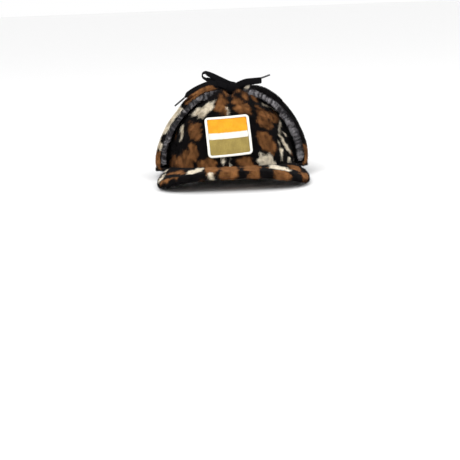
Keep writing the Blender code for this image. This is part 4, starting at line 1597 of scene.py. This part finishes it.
@dataclass
class Bow:
    """The lace tied on top: two loops, two ends with their tips, the knot and the runs to it.

    A row of the knot's turns says how far from its middle the turn lies and how far it slants,
    both in millimetres, and how full it is.
    """

    middle: Vector
    nodes: dict
    steps: int = 8
    lean: float = math.radians(20)
    knot_middle: Vector = field(default_factory=lambda: Vector((3, 0, 113.8)) * MM)
    knot_size: Vector = field(default_factory=lambda: Vector((11.5, 6.5, 7.0)) * MM)
    knot_core: float = 0.93
    knot_taper: float = 1.15
    turn_width: float = 7.4 * MM
    narrowing: float = 6 * MM
    tip_gap: float = 0.3 * MM
    tip_length: float = 17 * MM
    tip_radius: float = 1.2 * MM
    tip_bevel: float = 0.35 * MM
    tip_taper: float = 0.94
    tip_sharp: float = math.radians(50)
    left_length: float = 62 * MM
    right_length: float = 49 * MM
    sewn: float = 3 * MM
    run_stations: int = 7
    run_sunk: float = 0.9 * MM
    run_below: float = 1.8 * MM

    def __post_init__(self) -> None:
        """Makes the materials once, and the way that each band's width leans."""
        self.lace = BraidedLace().material()
        self.film = MouldedTip().material()
        self.upright = (0, 0, 1)
        self.tail_lean = (0, math.sin(self.lean), math.cos(self.lean))

    def routed(self, points: list, steps: int) -> np.ndarray:
        """A route's points in the world, from rows in millimetres from the crown's middle."""
        return smooth_route(points, steps) * MM + np.array(self.middle)

    def laced(self, band: Band, name: str, *nodes: str) -> bpy.types.Object:
        """Puts a band in the scene in the place of its nodes."""
        return show(band.mesh(name), "black_lace", self.lace, *nodes)

    def loop(self, name: str, points: list, node: str) -> None:
        """One loop of the bow.

        Args:
            name: The piece's name.
            points: Its route, whose rows also say how far the lace leans, in degrees.
            node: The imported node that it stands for.
        """
        rows = smooth_route(points, self.steps)
        route = rows[:, :3] * MM + np.array(self.middle)
        lean = np.radians(rows[:, 3])
        sides = np.stack([np.zeros(len(rows)), np.cos(lean), np.sin(lean)], axis=1)
        self.laced(Band(route, sides), name, node)

    def tip(self, name: str, end: Vector, way: Vector, node: str) -> bpy.types.Object:
        """The stiff tip of one end, rolled in film.

        Args:
            name: The piece's name.
            end: Where the lace ends.
            way: The way that it points.
            node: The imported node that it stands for.

        Returns:
            The piece.
        """
        form = bmesh.new()
        bmesh.ops.create_cone(
            form,
            cap_ends=True,
            segments=24,
            radius1=self.tip_radius,
            radius2=self.tip_radius * self.tip_taper,
            depth=self.tip_length,
        )
        rims = [
            edge
            for edge in form.edges
            if abs(abs(sum(vert.co.z for vert in edge.verts)) - self.tip_length) < WELD
        ]
        bmesh.ops.bevel(
            form, geom=rims, offset=self.tip_bevel, segments=3, profile=0.5, affect="EDGES"
        )
        middle = end + way * (self.tip_gap + self.tip_length / 2)
        turn = way.to_track_quat("Z", "Y").to_matrix().to_4x4()
        bmesh.ops.transform(form, verts=form.verts, matrix=Matrix.Translation(middle) @ turn)
        mesh = mesh_of(form, name)
        mesh.set_sharp_from_angle(angle=self.tip_sharp)
        return show(mesh, "black_tip", self.film, node)

    def tail(self, word: str, points: list, side: tuple) -> None:
        """One free end of the lace with its tip.

        Args:
            word: Left or right.
            points: Its route, in millimetres from the crown's middle.
            side: The way that its width lies.
        """
        route = self.routed(points, self.steps)
        sides = np.tile(np.array(side, float), (len(route), 1))
        flat = Band(route, sides, narrowing=self.narrowing)
        band = self.laced(flat, f"tail_{word}", f"lace_tail_{word}")
        path = [Vector(p) for p in self.routed(points, 2)]
        tip = self.tip(f"tip_{word}", path[-1], (path[-1] - path[-3]).normalized(), f"aglet_{word}")

    def knot(self) -> None:
        """Makes the knot: a squat core, and turns of lace pulled tight round it."""
        place = self.middle + self.knot_middle
        form = bmesh.new()
        bmesh.ops.create_uvsphere(form, u_segments=32, v_segments=20, radius=1)
        size = Matrix.Diagonal((*(self.knot_size * self.knot_core), 1))
        bmesh.ops.transform(form, verts=form.verts, matrix=Matrix.Translation(place) @ size)
        layer = form.loops.layers.uv.new("Lace")
        for face in form.faces:
            for loop in face.loops:
                loop[layer].uv = (loop.vert.co.z - place.z, loop.vert.co.x - place.x)
        show(mesh_of(form, "knot_core"), "black_lace", self.lace, "lace_knot")
        turn = np.linspace(0, 2 * math.pi, 73)[:, None]
        around = np.hstack([np.cos(turn), np.sin(turn)])
        for i, (offset, slant, swell) in enumerate(KNOT_TURNS):
            across = offset * MM + slant * MM * np.sin(turn)
            share = np.sqrt(1 - (across / (self.knot_size.x * self.knot_taper)) ** 2) * swell
            deep = self.knot_size.y * share * around[:, :1]
            high = self.knot_size.z * share * around[:, 1:]
            route = np.hstack([across, deep, high])
            lean = -offset * MM / self.knot_size.x * 0.6
            sides = np.hstack([np.ones_like(turn), around * lean])
            band = Band(route + np.array(place), sides, width=self.turn_width, ring=True)
            self.laced(band, f"knot_turn_{i + 1}")

    def run(self, word: str) -> None:
        """The stretch of lace from a flap's tip, which turns on its edge before the knot.

        Args:
            word: Left or right.
        """
        node = f"lace_run_{word}"
        low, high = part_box(node)
        tree = tree_of(self.nodes[node])
        knot = self.middle.x + self.knot_middle.x
        ends = (low.x, high.x) if high.x < knot else (high.x, low.x)
        aside = (low.y + high.y) / 2
        route = []
        for across in np.linspace(ends[0], ends[1], self.run_stations)[:-1]:
            top = tree.ray_cast(Vector((across, aside, high.z + 1 * MM)), Vector((0, 0, -1)))[0]
            if top is not None:
                route.append(top - Vector((0, 0, self.run_sunk)))
        route[0].z -= self.sewn
        route[1].z -= self.sewn / 3
        route.append(self.middle + self.knot_middle + Vector((0, 0, -self.run_below)))
        rows = smooth_route(route, self.steps)
        share = smooth_step(np.linspace(-0.4, 1.1, len(rows)))[:, None]
        sides = np.array([0.0, 1.0, 0.0]) * (1 - share) + np.array([0.0, 0.35, 1.0]) * share
        self.laced(Band(rows, sides), f"run_{word}", node)

    def build(self) -> None:
        """Makes the whole bow, the free ends first."""
        self.tail("left", LEFT_TAIL_ROUTE, self.tail_lean)
        self.tail("right", RIGHT_TAIL_ROUTE, self.upright)
        self.loop("loop_left", LEFT_LOOP_ROUTE, "lace_loop_left")
        self.loop("loop_right", RIGHT_LOOP_ROUTE, "lace_loop_right")
        self.knot()
        self.run("left")
        self.run("right")


STITCH_SHAPE = (
    (0.0, -0.3, 0.35),
    (0.18, 0.85, 0.5),
    (0.5, 1.0, 0.52),
    (0.82, 0.85, 0.5),
    (1.0, -0.3, 0.35),
)


@dataclass
class Patch:
    """The square patch: three stitched fields in an overlocked border.

    A row of a stitch's shape says how far along the stitch it is, how far the thread stands out
    there, as a share of its rise, and half its width, as a share of the threads' pitch.
    """

    nodes: dict
    turn: float = math.radians(4)
    size: float = 54 * MM
    border: float = 3 * MM
    corner: float = 5 * MM
    backing_crease: float = 0.8
    backing_shade: float = 0.7
    pitch: float = 0.56 * MM
    stitch: float = 4.4 * MM
    band_stitch: float = 9 * MM
    stagger: float = 0.37
    least: float = 0.3
    stitches: tuple = (0.92, 1.08)
    shades: tuple = (0.8, 1.15)
    reach: float = 0.75
    step: float = 0.4 * MM
    before: float = 30 * MM
    facing: float = 0.6
    rise: float = 0.22 * MM
    foot: float = 0.1 * MM
    wraps: int = 228
    wrap_rise: float = 0.16 * MM
    wrap_slant: float = 0.6
    lap: float = 0.5 * MM
    spare: float = 0.2 * MM
    flat: float = 0.34
    lift: float = 0.45 * MM
    few: tuple = (-0.4, 0.0, 0.4)
    many: tuple = (-0.8, -0.4, 0.0, 0.4, 0.8)
    wide_reach: float = 4.2 * MM
    close_reach: float = 2.4 * MM
    stations: int = 4
    around: int = 12

    def __post_init__(self) -> None:
        """Finds the patch's middle, its axes and how it bulges from the frame."""
        low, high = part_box("patch_border")
        middle = (low + high) / 2
        start = Vector((middle.x, low.y - 50 * MM, middle.z))
        tree = tree_of(self.nodes["patch_band"])
        place, normal, _, _ = tree.ray_cast(start, Vector((0, 1, 0)))
        self.out = Vector((0, normal.y, normal.z)).normalized()
        level = Vector((1, 0, 0))
        self.across = Matrix.Rotation(self.turn, 3, self.out) @ level
        self.up = self.out.cross(self.across)
        self.middle = place
        border = places_of(self.nodes["patch_border"].data) - np.array(place)
        flat = border @ np.array([self.across, self.up]).T
        self.low, self.high = flat.min(axis=0), flat.max(axis=0)
        deep = border @ np.array(self.out)
        self.swell = np.linalg.lstsq(self.terms(flat)[:, :6], deep, rcond=None)[0]
        self.half = (self.size - self.border) / 2
        self.bend = self.corner - self.border / 2
        self.straight = self.half - self.bend

    def terms(self, flat: object) -> np.ndarray:
        """The terms of a smooth surface at places across and up the patch."""
        a, b = np.array(flat).T / self.size
        return np.stack([np.ones(len(a)), a, b, a * a, a * b, b * b, a * a * b, a * b * b], axis=1)

    def traced(self, tree: BVHTree, offset: Vector, ways: Vector) -> np.ndarray:
        """Follows a thread over a field's front.

        Args:
            tree: The field's faces.
            offset: How far the thread lies from the patch's middle.
            ways: The way that it runs.

        Returns:
            For each point on the front, how far along the thread it is and its place.
        """
        count = int(self.size * self.reach / self.step)
        rows = []
        for j in range(-count, count + 1):
            spot = self.middle + offset + ways * (j * self.step)
            place, normal, _, _ = tree.ray_cast(spot + self.out * self.before, -self.out)
            if place is not None and normal.dot(self.out) > self.facing:
                rows.append((j * self.step, *place))
        return np.array(rows)

    def cuts(self, line: np.ndarray, first: float, stitch: float, rng: np.random.Generator) -> list:
        """Where a thread goes through the cloth.

        Args:
            line: The thread's points.
            first: The first stitch's length, as a share of the others'.
            stitch: How long a stitch is.
            rng: The source of chance.

        Returns:
            How far along the thread each place is.
        """
        low, high = line[0, 0], line[-1, 0]
        found = [low]
        cut = low + first * stitch
        while cut < high - stitch * self.least:
            if cut > low + stitch * self.least:
                found.append(cut)
            cut += stitch * rng.uniform(*self.stitches)
        return [*found, high]

    def one_stitch(self, line: np.ndarray, ends: tuple, ways: Vector, rows: Vector) -> list:
        """Works out the points of one stitch.

        Args:
            line: The thread's points.
            ends: How far along the thread the stitch starts and ends.
            ways: The way that the thread runs.
            rows: The way to the next thread.

        Returns:
            Three points across the thread for each row of the stitch's shape.
        """
        points = []
        for share, tall, wide in STITCH_SHAPE:
            far = ends[0] + (ends[1] - ends[0]) * share
            spot = Vector([np.interp(far, line[:, 0], line[:, k]) for k in (1, 2, 3)])
            spot += ways * (self.lap * (int(far == line[-1, 0]) - int(far == line[0, 0])))
            sway = rows * (self.pitch * wide)
            foot = self.out * self.foot
            points += [spot - sway - foot, spot + self.out * (self.rise * tall), spot + sway - foot]
        return points

    def field(self, word: str, thread: StitchedThread, slant: float, stitch: float) -> None:
        """One field: threads side by side over a backing.

        Args:
            word: The field's name.
            thread: The thread, named as its material slot is.
            slant: How far the threads lean from upright, in radians.
            stitch: How long a stitch is.
        """
        node = f"patch_{word}"
        backing = softened_copy(self.nodes[node], f"{word}_backing", self.backing_crease)
        hold(backing, "shade", np.full(len(backing.vertices), self.backing_shade))
        material = thread.material()
        show(backing, thread.name, material, node)
        tree = tree_of(self.nodes[node])
        ways = self.up * math.cos(slant) + self.across * math.sin(slant)
        rows = self.across * math.cos(slant) - self.up * math.sin(slant)
        rng = np.random.default_rng(len(word))
        count = int(self.size * self.reach / self.pitch)
        points, shades = [], []
        for i in range(-count, count + 1):
            line = self.traced(tree, rows * (i * self.pitch), ways)
            if len(line) < 4:
                continue
            cuts = self.cuts(line, (i * self.stagger) % 1, stitch, rng)
            for ends in zip(cuts, cuts[1:]):
                shades.append(rng.uniform(*self.shades))
                points += self.one_stitch(line, ends, ways, rows)
        each = 3 * len(STITCH_SHAPE)
        faces = [
            (a, a + 1, a + 4, a + 3)
            for start in range(0, len(points), each)
            for row in range(start, start + each - 3, 3)
            for a in (row, row + 1)
        ]
        made = bpy.data.meshes.new(f"{word}_stitches")
        made.from_pydata([tuple(point) for point in points], [], faces)
        made.shade_smooth()
        hold(made, "shade", np.repeat(shades, each))
        self.face_out(made)
        show(made, thread.name, material)

    def face_out(self, mesh: bpy.types.Mesh) -> None:
        """Turns a mesh's faces to the patch's front.

        Args:
            mesh: The mesh.
        """
        out = np.empty(len(mesh.polygons) * 3, np.float32)
        mesh.polygons.foreach_get("normal", out)
        if (out.reshape(-1, 3) @ np.array(self.out)).mean() < 0:
            mesh.flip_normals()

    def centre_line(self) -> np.ndarray:
        """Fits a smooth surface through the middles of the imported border's rings.

        Returns:
            What the terms of a place are multiplied by to get the point there.
        """
        solid = places_of(self.nodes["patch_border"].data)
        fit = None
        for shares, reach in ((self.few, self.wide_reach), (self.many, self.close_reach)):
            spots = [
                Matrix.Rotation(turn * math.pi / 2, 2) @ Vector((self.half, share * self.straight))
                for turn in range(4)
                for share in shares
            ]
            if fit is None:
                flat = self.low + (self.high - self.low) * (np.array(spots) / self.size + 0.5)
                guesses = np.array(self.middle) + flat @ np.array([self.across, self.up])
                guesses += (self.terms(flat)[:, :6] @ self.swell)[:, None] * np.array(self.out)
            else:
                guesses = self.terms(spots) @ fit
            rings = [solid[np.linalg.norm(solid - guess, axis=1) < reach] for guess in guesses]
            found = np.array([ring.mean(axis=0) for ring in rings])
            fit = np.linalg.lstsq(self.terms(spots), found, rcond=None)[0]
        return fit

    def on_border(self, along: float) -> Vector:
        """A place on the middle of the border's width.

        Args:
            along: How far round the border it is.

        Returns:
            The place, across and up the patch.
        """
        side = 2 * self.straight
        turn, rest = divmod(along, side + self.bend * math.pi / 2)
        if rest < side:
            spot = Vector((self.half, rest - self.straight))
        else:
            bow = (rest - side) / self.bend
            spot = Vector((math.cos(bow), math.sin(bow))) * self.bend
            spot += Vector((self.straight, self.straight))
        spot.rotate(Matrix.Rotation(turn * math.pi / 2, 2))
        return spot

    def overlock(self) -> None:
        """Makes the border, with thread wrapped round it."""
        around = 4 * (2 * self.straight + self.bend * math.pi / 2)
        count = self.wraps * self.stations
        flats = [self.on_border(around * i / count) for i in range(count)]
        rows = self.terms(flats) @ self.centre_line() + np.array(self.out) * self.lift
        ahead = unit(np.roll(rows, -1, axis=0) - np.roll(rows, 1, axis=0))
        sides = unit(np.cross(ahead, np.array(self.out)))
        out = np.cross(sides, ahead)
        phase = np.arange(count) / self.stations
        verts, lengths = [], []
        for turn in np.arange(self.around) * (2 * math.pi / self.around):
            wound = phase + turn / math.pi * self.wrap_slant
            rib = np.abs(np.sin(wound * math.pi))[:, None]
            inset = self.wrap_rise * (1 - rib)
            wide = (self.border / 2 + self.spare - inset) * math.cos(turn)
            high = (self.border * self.flat - inset) * math.sin(turn)
            verts.append(rows + sides * wide + out * high)
            lengths.append(wound * (around / self.wraps))
        index = np.arange(count * self.around).reshape(count, self.around)
        after = np.roll(index, -1, axis=0)
        square = (index, after, np.roll(after, -1, axis=1), np.roll(index, -1, axis=1))
        faces = np.stack(square, axis=2).reshape(-1, 4)
        made = bpy.data.meshes.new("border_overlock")
        made.from_pydata(np.stack(verts, axis=1).reshape(-1, 3).tolist(), [], faces.tolist())
        made.shade_smooth()
        hold(made, "round", np.stack(lengths, axis=1).ravel())
        form = bmesh.new()
        form.from_mesh(made)
        bmesh.ops.recalc_face_normals(form, faces=form.faces)
        form.to_mesh(made)
        form.free()
        show(made, "white_thread", OverlockThread().material(), "patch_border")

    def build(self) -> None:
        """Makes the three fields and the border."""
        orange = StitchedThread("orange_thread", (0.93, 0.42, 0.018), (0.58, 0.21, 0.006))
        white = StitchedThread("white_thread", (0.90, 0.88, 0.80), (0.60, 0.57, 0.48))
        olive = StitchedThread("olive_thread", (0.41, 0.31, 0.085), (0.17, 0.12, 0.03))
        self.field("upper_field", orange, 0.06, self.stitch)
        self.field("band", white, 0.0, self.band_stitch)
        self.field("lower_field", olive, 0.35, self.stitch)
        self.overlock()


def main() -> None:
    """Builds the cap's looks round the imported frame."""
    logging.basicConfig(level=logging.INFO, format="%(name)s %(message)s")
    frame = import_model()
    nodes = frame["nodes"]
    corners = [corner for name in CROWN_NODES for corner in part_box(name)]
    low = Vector([min(c[i] for c in corners) for i in range(3)])
    high = Vector([max(c[i] for c in corners) for i in range(3)])
    middle = Vector(((low.x + high.x) / 2, (low.y + high.y) / 2, 0))
    LOG.info("crown's middle %s", tuple(round(v / MM, 2) for v in middle))
    studio = Studio(middle)
    studio.camera()
    Bow(middle, nodes).build()
    studio.build()
    Cloths(studio, nodes).build()
    Patch(nodes).build()


if __name__ == "__main__":
    main()
